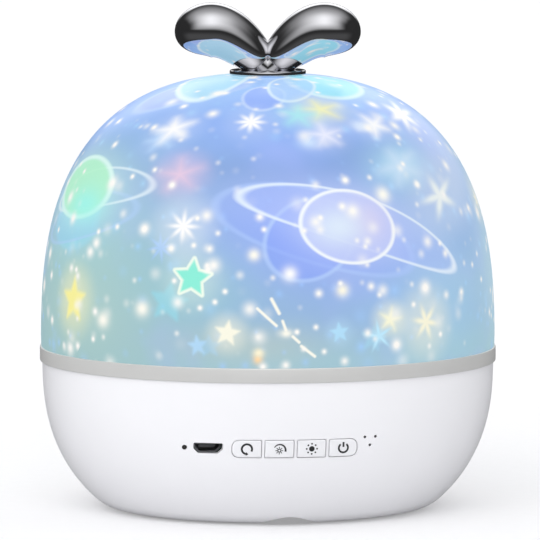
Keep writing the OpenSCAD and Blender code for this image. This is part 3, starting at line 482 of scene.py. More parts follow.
class PatternTrees:
    """Node groups that draw the shapes of the pattern from a ray's direction.

    Sizes are shares of a shape's half size. A group's sums are written as steps: a name, an operation and
    its inputs, each the name of an earlier step or a number. RAMP is a smooth step between two values.
    """

    notch = 0.5  # how deep a star's notches lie
    tip_cut = 0.94  # where a star's tips are cut round
    tip_round = 0.1
    line = 0.05  # half an outline's width
    ray = 0.09  # a ray's width at its root
    ray_soft = 0.06
    ray_fade, core = 0.3, 0.5  # where a ray starts to fade, and how far the bright core reaches
    dash_in, dash_out = 0.2, 1.8  # where a dash's glow starts to fall off, and where it ends
    dot_fall = 1.1  # how steeply a dot's glow falls off
    haze_from, haze_to = 0.5, 2.0
    facing = 0.2  # least cosine to the shape's middle at which it still shows
    link = 1e-9  # share of the colour that is added to the ray, so that one group waits for the last

    inputs = {
        "Vector": ("Ray", "Ahead", "Right", "Up"),
        "Float": ("Points", "Fill", "Edge", "Halo", "Soft"),
        "Color": ("Under", "Inside", "Outline"),
    }
    # from the ray to the place where it meets the shape's plane
    first_steps = (
        ("near", "GREATER_THAN", "ahead", facing),
        ("across", "DIVIDE", "right", "ahead"),
        ("upward", "DIVIDE", "up", "ahead"),
        ("across_2", "MULTIPLY", "across", "across"),
        ("upward_2", "MULTIPLY", "upward", "upward"),
        ("far_2", "ADD", "across_2", "upward_2"),
        ("far", "SQRT", "far_2"),
        ("sharp", "MULTIPLY", "Soft", -1.0),
    )
    # from there to the place along and beside the nearest of a star's rays
    sector_steps = (
        ("bearing", "ARCTAN2", "across", "upward"),
        ("sector", "DIVIDE", math.pi, "Points"),
        ("folded", "PINGPONG", "bearing", "sector"),
        ("cosine", "COSINE", "folded"),
        ("along", "MULTIPLY", "far", "cosine"),
        ("sine", "SINE", "folded"),
        ("aside", "MULTIPLY", "far", "sine"),
    )
    # from a shape's inside and line to what is laid over the colour
    last_steps = (
        ("around", "RAMP", "far", haze_to, haze_from),
        ("haze", "MULTIPLY", "around", "Halo"),
        ("outside", "SUBTRACT", 1.0, "inside"),
        ("haze", "MULTIPLY", "haze", "outside"),
        ("edge", "MULTIPLY", "line", "Edge"),
        ("outline", "MAXIMUM", "edge", "haze"),
        ("fill", "MULTIPLY", "inside", "Fill"),
        ("inner", "MULTIPLY", "fill", "near"),
        ("outer", "MULTIPLY", "outline", "near"),
    )

    def __init__(self) -> None:
        """Makes one group for each shape."""
        self.shapes = {shape: self._shape_group(shape) for shape in Shape}

    @staticmethod
    def _edge_steps(half_line: float) -> tuple:
        """Goes from the distance over a shape's edge to its inside and its line.

        Args:
            half_line: Half the line's width.

        Returns:
            The steps.
        """
        return (
            ("inside", "RAMP", "over", "Soft", "sharp"),
            ("off", "ABSOLUTE", "over"),
            ("reach", "ADD", "Soft", half_line),
            ("line", "RAMP", "off", "reach", 0.0),
        )

    def _star_steps(self) -> tuple:
        """Works out a star: each of its sides is a straight line from a tip to a notch.

        Returns:
            The steps.
        """
        tip = Vector((1.0, 0.0))
        dent = Vector((math.cos(math.pi / 5), math.sin(math.pi / 5))) * self.notch
        side = (dent - tip).normalized()
        outward = Vector((side.y, -side.x))
        return self.sector_steps + (
            ("along_part", "MULTIPLY", "along", outward.x),
            ("aside_part", "MULTIPLY", "aside", outward.y),
            ("both", "ADD", "along_part", "aside_part"),
            ("over", "SUBTRACT", "both", outward.dot(tip)),
            ("past_tip", "SUBTRACT", "far", self.tip_cut),
            ("over", "SMOOTH_MAX", "over", "past_tip", self.tip_round),
        ) + self._edge_steps(self.line)

    def _shape_steps(self, shape: Shape) -> tuple:
        """Returns the steps that a shape has of its own.

        Args:
            shape: Which shape is drawn.

        Returns:
            The steps to its inside, and to its line where it has one.
        """
        if shape is Shape.STAR:
            return self._star_steps()
        if shape is Shape.SPARKLE:
            return self.sector_steps + (
                ("length_left", "SUBTRACT", 1.0, "far"),
                ("thin", "MULTIPLY", "length_left", self.ray),
                ("over", "SUBTRACT", "aside", "thin"),
                ("beam", "RAMP", "over", "Soft", -self.ray_soft),
                ("fade", "RAMP", "far", 1.0, self.ray_fade),
                ("beam", "MULTIPLY", "beam", "fade"),
                ("core", "RAMP", "far", self.core, 0.0),
                ("inside", "MAXIMUM", "beam", "core"),
            )
        if shape is Shape.DASH:
            return (
                ("side", "ABSOLUTE", "across"),
                ("past", "SUBTRACT", "side", 1.0),
                ("past", "MAXIMUM", "past", 0.0),
                ("stretch", "MULTIPLY", "past", "Points"),
                ("stretch_2", "MULTIPLY", "stretch", "stretch"),
                ("away_2", "ADD", "stretch_2", "upward_2"),
                ("away", "SQRT", "away_2"),
                ("inside", "RAMP", "away", self.dash_out, self.dash_in),
            )
        if shape is Shape.DOT:
            return (
                ("fall", "MULTIPLY", "far", "far"),
                ("fall", "MULTIPLY", "fall", -self.dot_fall),
                ("inside", "EXPONENT", "fall"),
            )
        return (("over", "SUBTRACT", "far", 1.0),) + self._edge_steps(self.line / 3)

    def _shape_group(self, shape: Shape) -> Tree:
        """Builds the group of a shape.

        Args:
            shape: Which shape the group draws.

        Returns:
            A group that lays the shape over a colour. Its Fill and Edge inputs weigh the inside and the
            outline. It hands the ray on, so that the shapes are worked out one after another, which
            keeps the shader within its memory.
        """
        tree = bpy.data.node_groups.new(f"throw_{shape.value}", "ShaderNodeTree")
        for kind, names in self.inputs.items():
            for name in names:
                tree.interface.new_socket(name, in_out="INPUT", socket_type=f"NodeSocket{kind}")
        tree.interface.new_socket("Colour", in_out="OUTPUT", socket_type="NodeSocketColor")
        tree.interface.new_socket("Ray", in_out="OUTPUT", socket_type="NodeSocketVector")
        given = add_node(tree, "NodeGroupInput").outputs
        known: dict[str, Any] = {"line": 0.0, **{name: given[name] for name in self.inputs["Float"]}}
        for name in ("Ahead", "Right", "Up"):
            dot = add_node(
                tree, "ShaderNodeVectorMath", {0: given["Ray"], 1: given[name]}, operation="DOT_PRODUCT"
            )
            known[name.lower()] = dot.outputs["Value"]
        for name, operation, *inputs in self.first_steps + self._shape_steps(shape) + self.last_steps:
            values = [known[v] if isinstance(v, str) else v for v in inputs]
            if operation == "RAMP":
                ends = dict(zip(("Value", "From Min", "From Max"), values))
                step = add_node(tree, "ShaderNodeMapRange", ends, interpolation_type="SMOOTHSTEP")
            else:
                step = add_node(tree, "ShaderNodeMath", dict(enumerate(values)), operation=operation)
            known[name] = step.outputs[0]
        colour = given["Under"]
        for share, over in (("inner", "Inside"), ("outer", "Outline")):
            colour = add_node(
                tree, "ShaderNodeMix", {0: known[share], 6: colour, 7: given[over]}, data_type="RGBA"
            ).outputs[2]
        onward = add_node(
            tree, "ShaderNodeVectorMath", {0: colour, 1: (self.link,) * 3, 2: given["Ray"]},
            operation="MULTIPLY_ADD",
        )
        add_node(tree, "NodeGroupOutput", {0: colour, 1: onward.outputs[0]})
        return tree

    def throw(self, tree: Tree, ray: Socket, under: Socket, motifs: Iterable[Motif]) -> Socket:
        """Lays motifs over a colour, one after another.

        Args:
            tree: The material's tree.
            ray: Direction from the lamp.
            under: Colour that the motifs are laid over.
            motifs: What to lay, the lowest first.

        Returns:
            The colour with the motifs on it.
        """
        colour = under
        for motif in motifs:
            ahead, right, up = motif.axes()
            group = add_node(tree, "ShaderNodeGroup", node_tree=self.shapes[motif.shape])
            feed(tree, group, {
                "Ray": ray, "Under": colour, "Ahead": ahead, "Right": right, "Up": up,
                "Points": motif.points, "Fill": motif.fill, "Edge": motif.edge, "Halo": motif.halo,
                "Soft": motif.soft, "Inside": linear(motif.colour), "Outline": linear(motif.outline),
            })
            colour, ray = group.outputs["Colour"], group.outputs["Ray"]
        return colour


@dataclass(frozen=True)
class StarPrint(Finish):
    """Glossy milky polycarbonate with the star pattern on it, lit from within.

    The colours are those of light on a milky wall, so most of them come from emission. A second, paler field
    of small stars lies beside the first, turned a little, and some shapes have a second image among the
    motifs, because the film and its cover both throw one. Heights and places are in millimetres. Each dot
    size is its cells' scale, its reach in a cell, and the share left out.
    """

    name: str
    lamp_z: float = 60.0
    heights: tuple[float, ...] = (45.0, 60.0, 84.0, 97.0, 108.0, 120.0)
    colours: tuple[str, ...] = ("#a4c9d6", "#98bbde", "#94b5e8", "#86a8dc", "#93b5f5", "#9cc6fd")
    green: str = "#a2c6ca"
    lilac: str = "#b2bcfa"
    dot_colour: str = "#fffdf8"
    dot_gain: float = 1.5
    dot_sizes: tuple[tuple[float, float, float], ...] = (
        (5.2, 0.34, 0.45), (6.4, 0.36, 0.2), (8.7, 0.34, 0.3), (11.6, 0.3, 0.25),
    )
    dot_core: float = 0.02
    dot_power: float = 2.6
    second_colour: str = "#a4d0ff"
    second_share: float = 0.6
    second_turn: float = 10.0
    blotch_scale: float = 2.6
    wander: float = 14.0
    wander_middle: float = 7.0
    green_x: tuple[float, float] = (-4.0, -50.0)
    green_z: tuple[float, float] = (104.0, 66.0)
    lilac_range: tuple[float, float] = (0.52, 0.75)
    lilac_share: float = 0.28
    glow: float = 0.715
    body: float = 0.25
    roughness: float = 0.32
    ior: float = 1.585
    specular: float = 0.3
    sheen: float = 0.1
    sheen_roughness: float = 0.35
    sheen_tint: str = "#dcecff"

    def dress(self, tree: Tree, shader: Node) -> None:
        """Adds the drifting ground colour, the pale second stars, the shapes and the small stars.

        Args:
            tree: The material's tree.
            shader: Its shader.
        """
        place = add_node(tree, "ShaderNodeTexCoord").outputs["Object"]
        from_lamp = add_node(
            tree, "ShaderNodeVectorMath", {0: place, 1: (0, 0, self.lamp_z * MM)}, operation="SUBTRACT"
        ).outputs[0]
        ray = add_node(tree, "ShaderNodeVectorMath", {0: from_lamp}, operation="NORMALIZE").outputs[0]
        turned = add_node(
            tree, "ShaderNodeVectorRotate", {"Vector": ray, "Angle": math.radians(self.second_turn)},
            rotation_type="Z_AXIS",
        ).outputs[0]
        colour = self._ground(tree, place, ray)
        colour = self._small_stars(tree, turned, colour, self.second_share, self.second_colour)
        colour = PatternTrees().throw(tree, ray, colour, MOTIFS)
        colour = self._small_stars(tree, ray, colour, 1.0, self.dot_colour)
        dim = add_node(
            tree, "ShaderNodeMix", {0: 1.0, 6: colour, 7: (self.body, self.body, self.body, 1.0)},
            data_type="RGBA", blend_type="MULTIPLY",
        )
        feed(tree, shader, {
            "Base Color": dim.outputs[2], "Emission Color": colour, "Emission Strength": self.glow,
            "Roughness": self.roughness, "IOR": self.ior, "Specular IOR Level": self.specular,
            "Sheen Weight": self.sheen, "Sheen Roughness": self.sheen_roughness,
            "Sheen Tint": linear(self.sheen_tint),
        })

    def _ground(self, tree: Tree, place: Socket, ray: Socket) -> Socket:
        """Mixes the colour between the stars: it changes with height, and drifts to green and lilac.

        Args:
            tree: The material's tree.
            place: Point on the shade.
            ray: Direction from the lamp.

        Returns:
            The colour.
        """
        apart = add_node(tree, "ShaderNodeSeparateXYZ", {0: place}).outputs
        blotch = add_node(
            tree, "ShaderNodeTexNoise", {"Vector": ray, "Scale": self.blotch_scale, "Detail": 2.0}
        ).outputs[0]
        wander = add_node(
            tree, "ShaderNodeMath", {0: blotch, 1: self.wander * MM, 2: apart["Z"]}, operation="MULTIPLY_ADD"
        ).outputs[0]
        low, high = self.heights[0], self.heights[-1]
        rise = add_node(
            tree, "ShaderNodeMapRange",
            {"Value": wander, "From Min": (low + self.wander_middle) * MM,
             "From Max": (high + self.wander_middle) * MM},
        )
        bands = add_node(tree, "ShaderNodeValToRGB", {"Fac": rise.outputs[0]})
        bands.color_ramp.interpolation = "EASE"
        stops = bands.color_ramp.elements
        while len(stops) < len(self.heights):
            stops.new(0.5)
        for stop, height, code in zip(stops, self.heights, self.colours):
            stop.position = (height - low) / (high - low)
            stop.color = linear(code)
        left, below = (
            add_node(
                tree, "ShaderNodeMapRange",
                {"Value": apart[axis], "From Min": start * MM, "From Max": end * MM},
                interpolation_type="SMOOTHSTEP",
            ).outputs[0]
            for axis, (start, end) in (("X", self.green_x), ("Z", self.green_z))
        )
        both = add_node(tree, "ShaderNodeMath", {0: left, 1: below}, operation="MULTIPLY").outputs[0]
        low_share, high_share = self.lilac_range
        spots = add_node(
            tree, "ShaderNodeMapRange",
            {"Value": blotch, "From Min": low_share, "From Max": high_share, "To Max": self.lilac_share},
            interpolation_type="SMOOTHSTEP",
        ).outputs[0]
        colour = bands.outputs[0]
        for share, tint in ((both, self.green), (spots, self.lilac)):
            colour = add_node(
                tree, "ShaderNodeMix", {0: share, 6: colour, 7: linear(tint)}, data_type="RGBA"
            ).outputs[2]
        return colour

    def _small_stars(self, tree: Tree, ray: Socket, under: Socket, strength: float, tint: str) -> Socket:
        """Scatters glowing dots in four sizes, about 11, 9, 7 and 5 mm apart, over a colour.

        Args:
            tree: The material's tree.
            ray: Direction that the dots are scattered over.
            under: Colour that they are laid over.
            strength: How strongly they show, up to 1.
            tint: Their colour.

        Returns:
            The colour with the dots on it.
        """
        colour = under
        for scale, reach, left_out in self.dot_sizes:
            cells = add_node(tree, "ShaderNodeTexVoronoi", {"Vector": ray, "Scale": scale})
            apart = add_node(tree, "ShaderNodeSeparateColor", {0: cells.outputs["Color"]})
            core = add_node(
                tree, "ShaderNodeMapRange",
                {"Value": cells.outputs["Distance"], "From Min": reach, "From Max": self.dot_core},
            )
            level = core.outputs[0]
            kept = add_node(
                tree, "ShaderNodeMath", {0: apart.outputs[0], 1: left_out}, operation="GREATER_THAN"
            )
            steps = (
                ("POWER", self.dot_power), ("MULTIPLY", kept.outputs[0]),
                ("MULTIPLY", self.dot_gain * strength),
            )
            for operation, amount in steps:
                level = add_node(
                    tree, "ShaderNodeMath", {0: level, 1: amount}, operation=operation
                ).outputs[0]
            level.node.use_clamp = True
            colour = add_node(
                tree, "ShaderNodeMix", {0: level, 6: colour, 7: linear(tint)}, data_type="RGBA"
            ).outputs[2]
        return colour


# ABS, moulded and polished: bright white with a soft gloss
SHELL_ABS = Moulded("abs_white_polished", "#f3f3f6", "#efeff2", roughness=0.3, skin_depth=0.006, spread=0.04)
# ABS keys from another mould: the same white, a little duller from handling
KEY_ABS = Moulded("abs_white_keys", "#f2f2f5", "#ecedf0", roughness=0.36, skin_mm=0.3, skin_depth=0.01)
# ABS inside the base, unpolished: flat greyish white
INNER_ABS = Moulded("abs_white_inner", "#dfe2e4", "#d6d9dc", roughness=0.55, skin_depth=0.02)
# Nylon gears and washer, moulded: waxy, slightly yellow
NYLON = Moulded("nylon_natural", "#e9e7dc", "#dfdccd", roughness=0.45, skin_mm=0.35)
# Silicone rubber feet, moulded: dark grey and matt
FOOT_RUBBER = Moulded(
    "silicone_rubber_grey", "#56565a", "#4a4a4e", roughness=0.8, ior=1.42, skin_depth=0.03
)
# Phenolic switch bodies, stems and beeper: black, half matt
BLACK_PLASTIC = Moulded("phenolic_black", "#1d1d20", "#26262a", roughness=0.5, skin_mm=0.25)
# Pad-printed ink of the key signs: dark grey, thin, without gloss
PAD_INK = Moulded(
    "pad_print_ink_grey", "#303133", "#2a2b2d", roughness=0.5, skin_mm=0.15, skin_depth=0.004
)
# Smoky polycarbonate lens of the charging light: a dark, glossy dot
SMOKY_LENS = Moulded("polycarbonate_smoky", "#3b3a39", "#333231", roughness=0.2, ior=1.585, coat=0.5)
# Phosphor cast over the LED chips: yellow and grainy
PHOSPHOR = Moulded("led_phosphor", "#f2d96a", "#eccb52", roughness=0.4, skin_mm=0.2)
# PVC sleeve shrunk on the battery: glossy blue, creased a little
SLEEVE = Moulded("pvc_sleeve_blue", "#27489a", "#1f3c86", roughness=0.25, skin_mm=2.5, skin_depth=0.08)
# PVC jacket of the leads, extruded: dark grey, soft gloss
JACKET = Moulded("pvc_jacket_grey", "#343438", "#2c2c30", roughness=0.45, skin_mm=0.4)
# Trim ring: ABS under satin silver paint, whose flakes give a soft metal sheen
RING_PAINT = Metal(
    "silver_paint_satin", "#e6e6e4", "#dededc", roughness=0.34, metallic=0.3, mark_mm=0.16,
    along=(1.0, 1.0, 0.3), spread=0.05,
)
# Tail and its plate: bright chrome plating, near mirror
CHROME = Metal(
    "chrome_plating_bright", "#e4e4e7", "#dddde1", roughness=0.05, mark_mm=0.8, mark_depth=0.001,
    spread=0.015,
)
# Zinc-plated steel of screws, shaft, strap and motor can: light grey, half bright
ZINC_STEEL = Metal("steel_zinc_plated", "#b9bbc0", "#aeb0b4", roughness=0.28, mark_mm=0.12)
# Nickel-plated steel shell of the charging socket: grey, less metallic, and painted darker than bare nickel
# as painted shade for its deep hollow
SOCKET_NICKEL = Metal(
    "steel_nickel_painted_shade", "#76777a", "#6a6b6e", roughness=0.4, metallic=0.4, mark_mm=0.1
)
# Drive pinion, cut from brass: yellow, with fine cutter marks along the teeth
CUT_BRASS = Metal(
    "brass_cut", "#d6b465", "#caa654", roughness=0.25, mark_mm=0.15, along=(1.0, 1.0, 0.2)
)
# Gold flash on the charging contacts: warm and bright
GOLD_FLASH = Metal("gold_flash_contacts", "#e6c778", "#dcb964", roughness=0.2, mark_mm=0.1)
# Polycarbonate cover over the film, moulded clear: see-through, glossy
CLEAR_COVER = ClearPlastic("polycarbonate_clear", "#f4f8ff")
# Boards of glass fibre under solder resist: green, with paler tracks
BOARD = CircuitBoard("fr4_green_resist")
# Shade: glossy milky polycarbonate, lit from within
SHADE_PRINT = StarPrint("polycarbonate_milky_lit")
# Film dome: the same pattern printed in deeper blues on PET film
FILM_PRINT = StarPrint(
    "pet_film_printed", heights=(44.0, 55.0, 66.0, 78.0, 90.0, 98.0),
    colours=("#3f7f9a", "#3f6fb0", "#3f62c0", "#3450b4", "#4a62c8", "#5a80d8"), green="#4f9a94",
    lilac="#6d70d0", glow=0.45, body=0.5, roughness=0.3,
)

FINISH_NODES: tuple[tuple[Finish, tuple[str, ...]], ...] = (
    (SHELL_ABS, ("bottom_cover",)),
    (FOOT_RUBBER, ("rubber_feet",)),
    (INNER_ABS, ("deck", "lamp_post", "turntable")),
    (ZINC_STEEL, (
        "cover_screws", "post_screws", "led_board_screws", "idler_pin", "gear_motor", "motor_clamp",
        "clamp_screws", "board_screws", "motor_shaft", "tail_screw", "tail_washer",
    )),
    (BOARD, ("led_board", "control_board")),
    (PHOSPHOR, ("led_chips",)),
    (NYLON, ("thrust_washer", "board_parts", "idler_gear")),
    (SLEEVE, ("battery",)),
    (JACKET, ("battery_lead", "motor_lead", "lamp_lead")),
    (BLACK_PLASTIC, (
        "tact_switches", "beeper", "stem_rotation", "stem_mode", "stem_brightness", "stem_power",
    )),
    (SOCKET_NICKEL, ("usb_socket",)),
    (SMOKY_LENS, ("charge_light",)),
    (FILM_PRINT, ("film_dome",)),
    (CLEAR_COVER, ("film_cover",)),
    (CUT_BRASS, ("drive_pinion",)),
)


# ---------- meshes ----------


def new_object(name: str, mesh: Mesh) -> bpy.types.Object:
    """Puts a mesh in the scene as an object at the origin.

    Args:
        name: The object's name.
        mesh: Its mesh.

    Returns:
        The object.
    """
    obj = bpy.data.objects.new(name, mesh)
    bpy.context.scene.collection.objects.link(obj)
    return obj


def mesh_from(name: str, build: BMesh, scale: float = MM) -> Mesh:
    """Turns a bmesh in millimetres into a mesh in metres, and frees it.

    Args:
        name: The mesh's name.
        build: The bmesh.
        scale: How much it is scaled.

    Returns:
        The mesh.
    """
    bmesh.ops.scale(build, vec=(scale, scale, scale), verts=build.verts)
    mesh = bpy.data.meshes.new(name)
    build.to_mesh(mesh)
    build.free()
    return mesh


def smooth(mesh: Mesh, sharp_degrees: float = 35.0) -> None:
    """Shades a mesh smooth, apart from edges that turn more than an angle."""
    mesh.shade_smooth()
    mesh.set_sharp_from_angle(angle=math.radians(sharp_degrees))


def quarter_turn(steps: int) -> list[float]:
    """Returns the angles from 0 to a right angle in even steps."""
    return [math.pi / 2 * i / steps for i in range(steps + 1)]


def circle_points(radius: float, sides: int, centre: Point2 = (0.0, 0.0)) -> list[Point2]:
    """Returns points round a circle."""
    turns = [2 * math.pi * i / sides for i in range(sides)]
    return [(centre[0] + radius * math.cos(a), centre[1] + radius * math.sin(a)) for a in turns]


def bend(start: Vector, through: Vector, end: Vector, share: float) -> Vector:
    """Returns a point of the curve that leaves start and reaches end towards a third point."""
    return start * (1 - share) ** 2 + through * 2 * share * (1 - share) + end * share * share


def loft(build: BMesh, first: Sequence, second: Sequence) -> None:
    """Closes the gap between two rings of vertices with one face for each pair of neighbours.

    Args:
        build: The bmesh of both rings.
        first: One ring.
        second: The other ring, with as many vertices. One vertex may stand for all of a ring.
    """
    for i in range(len(first)):
        j = (i + 1) % len(first)
        corners = dict.fromkeys((first[i], first[j], second[j], second[i]))
        if len(corners) > 2:
            build.faces.new(list(corners))


def revolve(profile: Sequence[Point2], sides: int) -> BMesh:
    """Turns a closed outline round the vertical axis.

    Args:
        profile: Points as radius and height, off the axis.
        sides: How many copies of the outline go round.

    Returns:
        A bmesh whose faces look outwards.
    """
    build = bmesh.new()
    columns = [
        [build.verts.new((x, y, height)) for x, y in circle_points(radius, sides)]
        for radius, height in profile
    ]
    for first, second in zip(columns, columns[1:] + columns[:1]):
        loft(build, first, second)
    bmesh.ops.recalc_face_normals(build, faces=build.faces)
    return build


def block(size: Sequence[float], centre: Sequence[float], soft: float) -> BMesh:
    """Builds a box with rounded edges, in millimetres.

    Args:
        size: Its width, depth and height.
        centre: Its middle.
        soft: How far the rounding of its edges reaches.

    Returns:
        The box.
    """
    build = bmesh.new()
    bmesh.ops.create_cube(build, size=1.0)
    bmesh.ops.scale(build, vec=size, verts=build.verts)
    bmesh.ops.translate(build, vec=centre, verts=build.verts)
    bmesh.ops.bevel(build, geom=build.edges[:], offset=soft, segments=2, profile=0.5, affect="EDGES")
    return build


def prism(outline: Sequence[Point2], near: float, far: float) -> BMesh:
    """Raises an outline in x and z between two distances in front of the middle.

    Args:
        outline: The outline's points.
        near: Distance of its one end.
        far: Distance of its other end.

    Returns:
        The closed solid.
    """
    build = bmesh.new()
    rings = [[build.verts.new((x, -y, z)) for x, z in outline] for y in (near, far)]
    build.faces.new(rings[0])
    build.faces.new(list(reversed(rings[1])))
    count = len(outline)
    for i in range(count):
        j = (i + 1) % count
        build.faces.new((rings[0][j], rings[0][i], rings[1][i], rings[1][j]))
    bmesh.ops.recalc_face_normals(build, faces=build.faces)
    return build


def join(parts: Iterable[BMesh]) -> BMesh:
    """Puts several bmeshes into one and frees them.

    Args:
        parts: The bmeshes.

    Returns:
        The whole.
    """
    whole = bmesh.new()
    for part in parts:
        mesh = bpy.data.meshes.new("part")
        part.to_mesh(mesh)
        part.free()
        whole.from_mesh(mesh)
        bpy.data.meshes.remove(mesh)
    return whole


def remove_object(obj: bpy.types.Object) -> None:
    """Removes an object and its mesh.

    Args:
        obj: The object.
    """
    mesh = obj.data
    bpy.data.objects.remove(obj)
    bpy.data.meshes.remove(mesh)


def evaluated_mesh(obj: bpy.types.Object, name: str) -> Mesh:
    """Applies an object's modifiers, and removes the object.

    Args:
        obj: The object.
        name: Name of the new mesh.

    Returns:
        The object's mesh with its modifiers applied.
    """
    graph = bpy.context.evaluated_depsgraph_get()
    mesh = bpy.data.meshes.new_from_object(obj.evaluated_get(graph))
    mesh.name = name
    remove_object(obj)
    return mesh


def cut_away(mesh: Mesh, cutters: Iterable[Mesh]) -> Mesh:
    """Cuts solids out of a mesh.

    Args:
        mesh: The closed mesh that is cut.
        cutters: Closed meshes to take away. They are removed afterwards.

    Returns:
        The cut mesh.
    """
    target = new_object("cut_target", mesh)
    tools = [new_object(f"cutter_{index}", cutter) for index, cutter in enumerate(cutters)]
    for index, tool in enumerate(tools):
        step = target.modifiers.new(f"cut_{index}", "BOOLEAN")
        step.operation = "DIFFERENCE"
        step.solver = "EXACT"
        step.object = tool
    result = evaluated_mesh(target, "cut_result")
    for tool in tools:
        remove_object(tool)
    return result


def set_normals(mesh: Mesh, rule: Callable[[Vector], Optional[Vector]], agree: float = 0.92) -> None:
    """Gives each corner the true normal of the surface it lies on, where the rule knows one.

    Args:
        mesh: A mesh that is already shaded smooth, with its sharp edges marked.
        rule: Gives the normal at a point in metres, or None where the point lies on no ruled surface.
        agree: Least cosine between the rule's normal and the face's at which the rule is followed.
    """
    known = [rule(v.co) for v in mesh.vertices]
    corners = [Vector((0, 0, 0))] * len(mesh.loops)
    for face in mesh.polygons:
        for loop in face.loop_indices:
            normal = known[mesh.loops[loop].vertex_index]
            if normal is not None and abs(normal.dot(face.normal)) > agree:
                corners[loop] = normal if normal.dot(face.normal) > 0 else -normal
    mesh.normals_split_custom_set([tuple(n) for n in corners])


class Repeater:
    """A Geometry Nodes tree that repeats a piece along a row or round an axis."""

    tree: Optional[Tree] = None
    sockets: dict[str, str] = {}

    @classmethod
    def build_tree(cls) -> Tree:
        """Builds the tree once: Count copies, each shifted and turned by one more step than the last.

        Returns:
            The tree.
        """
        if cls.tree is not None:
            return cls.tree
        tree = bpy.data.node_groups.new("repeat_piece", "GeometryNodeTree")
        tree.interface.new_socket("Geometry", in_out="INPUT", socket_type="NodeSocketGeometry")
        kinds = (("Count", "Int"), ("Shift", "Vector"), ("Turn", "Float"), ("Finish", "Material"))
        for name, kind in kinds:
            socket = tree.interface.new_socket(name, in_out="INPUT", socket_type=f"NodeSocket{kind}")
            cls.sockets[name] = socket.identifier
        tree.interface.new_socket("Geometry", in_out="OUTPUT", socket_type="NodeSocketGeometry")
        given = add_node(tree, "NodeGroupInput").outputs
        row = add_node(tree, "GeometryNodeMeshLine", {"Count": given["Count"], "Offset": given["Shift"]})
        index = add_node(tree, "GeometryNodeInputIndex").outputs[0]
        angle = add_node(tree, "ShaderNodeMath", {0: index, 1: given["Turn"]}, operation="MULTIPLY")
        turn = add_node(tree, "ShaderNodeCombineXYZ", {"Z": angle.outputs[0]})
        copies = add_node(
            tree, "GeometryNodeInstanceOnPoints",
            {"Points": row.outputs[0], "Instance": given["Geometry"], "Rotation": turn.outputs[0]},
        )
        real = add_node(tree, "GeometryNodeRealizeInstances", {0: copies.outputs[0]})
        dressed = add_node(
            tree, "GeometryNodeSetMaterial", {"Geometry": real.outputs[0], "Material": given["Finish"]}
        )
        add_node(tree, "NodeGroupOutput", {0: dressed.outputs[0]})
        cls.tree = tree
        return tree

    @classmethod
    def repeat(
        cls, piece: Mesh, count: int, finish: Finish,
        shift: Sequence[float] = (0.0, 0.0, 0.0), turn: float = 0.0,
    ) -> Mesh:
        """Repeats a mesh.

        Args:
            piece: The mesh of one copy, in metres.
            count: How many copies are made.
            finish: Finish of the copies.
            shift: Step from copy to copy, in metres.
            turn: Turn about Z from copy to copy, in radians.

        Returns:
            One mesh with all copies.
        """
        holder = new_object("repeat_holder", piece)
        modifier = holder.modifiers.new("repeat", "NODES")
        modifier.node_group = cls.build_tree()
        inputs = {"Count": count, "Shift": tuple(shift), "Turn": turn, "Finish": finish.material()}
        for name, value in inputs.items():
            modifier[cls.sockets[name]] = value
        return evaluated_mesh(holder, "repeated")


def place_piece(
    name: str, mesh: Mesh, finish: Finish, body: str, replaced: Sequence[str] = (),
    sharp_degrees: Optional[float] = 35.0,
) -> bpy.types.Object:
    """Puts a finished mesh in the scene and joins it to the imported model.

    Args:
        name: Name of the piece.
        mesh: Its mesh, in metres and in its place.
        finish: Its finish.
        body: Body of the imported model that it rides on.
        replaced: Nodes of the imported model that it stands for.
        sharp_degrees: Angle above which edges stay sharp, or None if the mesh is shaded already.

    Returns:
        The piece.
    """
    obj = new_object(name, mesh)
    mesh.materials.clear()
    mesh.materials.append(finish.material())
    if sharp_degrees is not None:
        smooth(mesh, sharp_degrees)
    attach(obj, body)
    if replaced:
        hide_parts(*replaced)
    LOG.info("%s: %d faces on %s", name, len(mesh.polygons), body)
    return obj


# ---------- sizes that the pieces share ----------


@dataclass(frozen=True)
class Swell:
    """A superellipse of revolution: the shade's and the base's outline."""

    radius: float
    depth: float
    power: float

    def at(self, z: float) -> float:
        """Returns the radius at a height from the widest level."""
        share = min(1.0, abs(z) / self.depth)
        return self.radius * (1 - share**self.power) ** (1 / self.power)

    def height(self, radius: float) -> float:
        """Returns the height above the widest level at a radius."""
        return self.depth * (1 - (radius / self.radius) ** self.power) ** (1 / self.power)

    def within(self, wall: float) -> "Swell":
        """Returns the inside of a wall under this surface."""
        return Swell(self.radius - wall, self.depth - wall, self.power)

    def arc(self, steps: int, last_z: Optional[float] = None) -> list[Point2]:
        """Lays points along the outline.

        Args:
            steps: Straight pieces between them.
            last_z: Height of the last point, or None for the tip.

        Returns:
            Points from the widest level to the last one, as radius and height.
        """
        end = math.pi / 2
        if last_z is not None:
            end = math.asin((last_z / self.depth) ** (self.power / 2))
        turns = [end * i / steps for i in range(steps + 1)]
        return [
            (
                self.radius * max(0.0, math.cos(t)) ** (2 / self.power),
                self.depth * math.sin(t) ** (2 / self.power),
            )
            for t in turns
        ]

    def slope(self, radius: float, z: float) -> tuple[float, float]:
        """Works out the outward normal at a point of the outline.

        Args:
            radius: The point's radius.
            z: Its height from the widest level.

        Returns:
            The normal's parts along the radius and the height.
        """
        across = (radius / self.radius) ** (self.power - 1) / self.radius
        upward = (abs(z) / self.depth) ** (self.power - 1) / self.depth
        length = math.hypot(across, upward)
        return across / length, upward / length


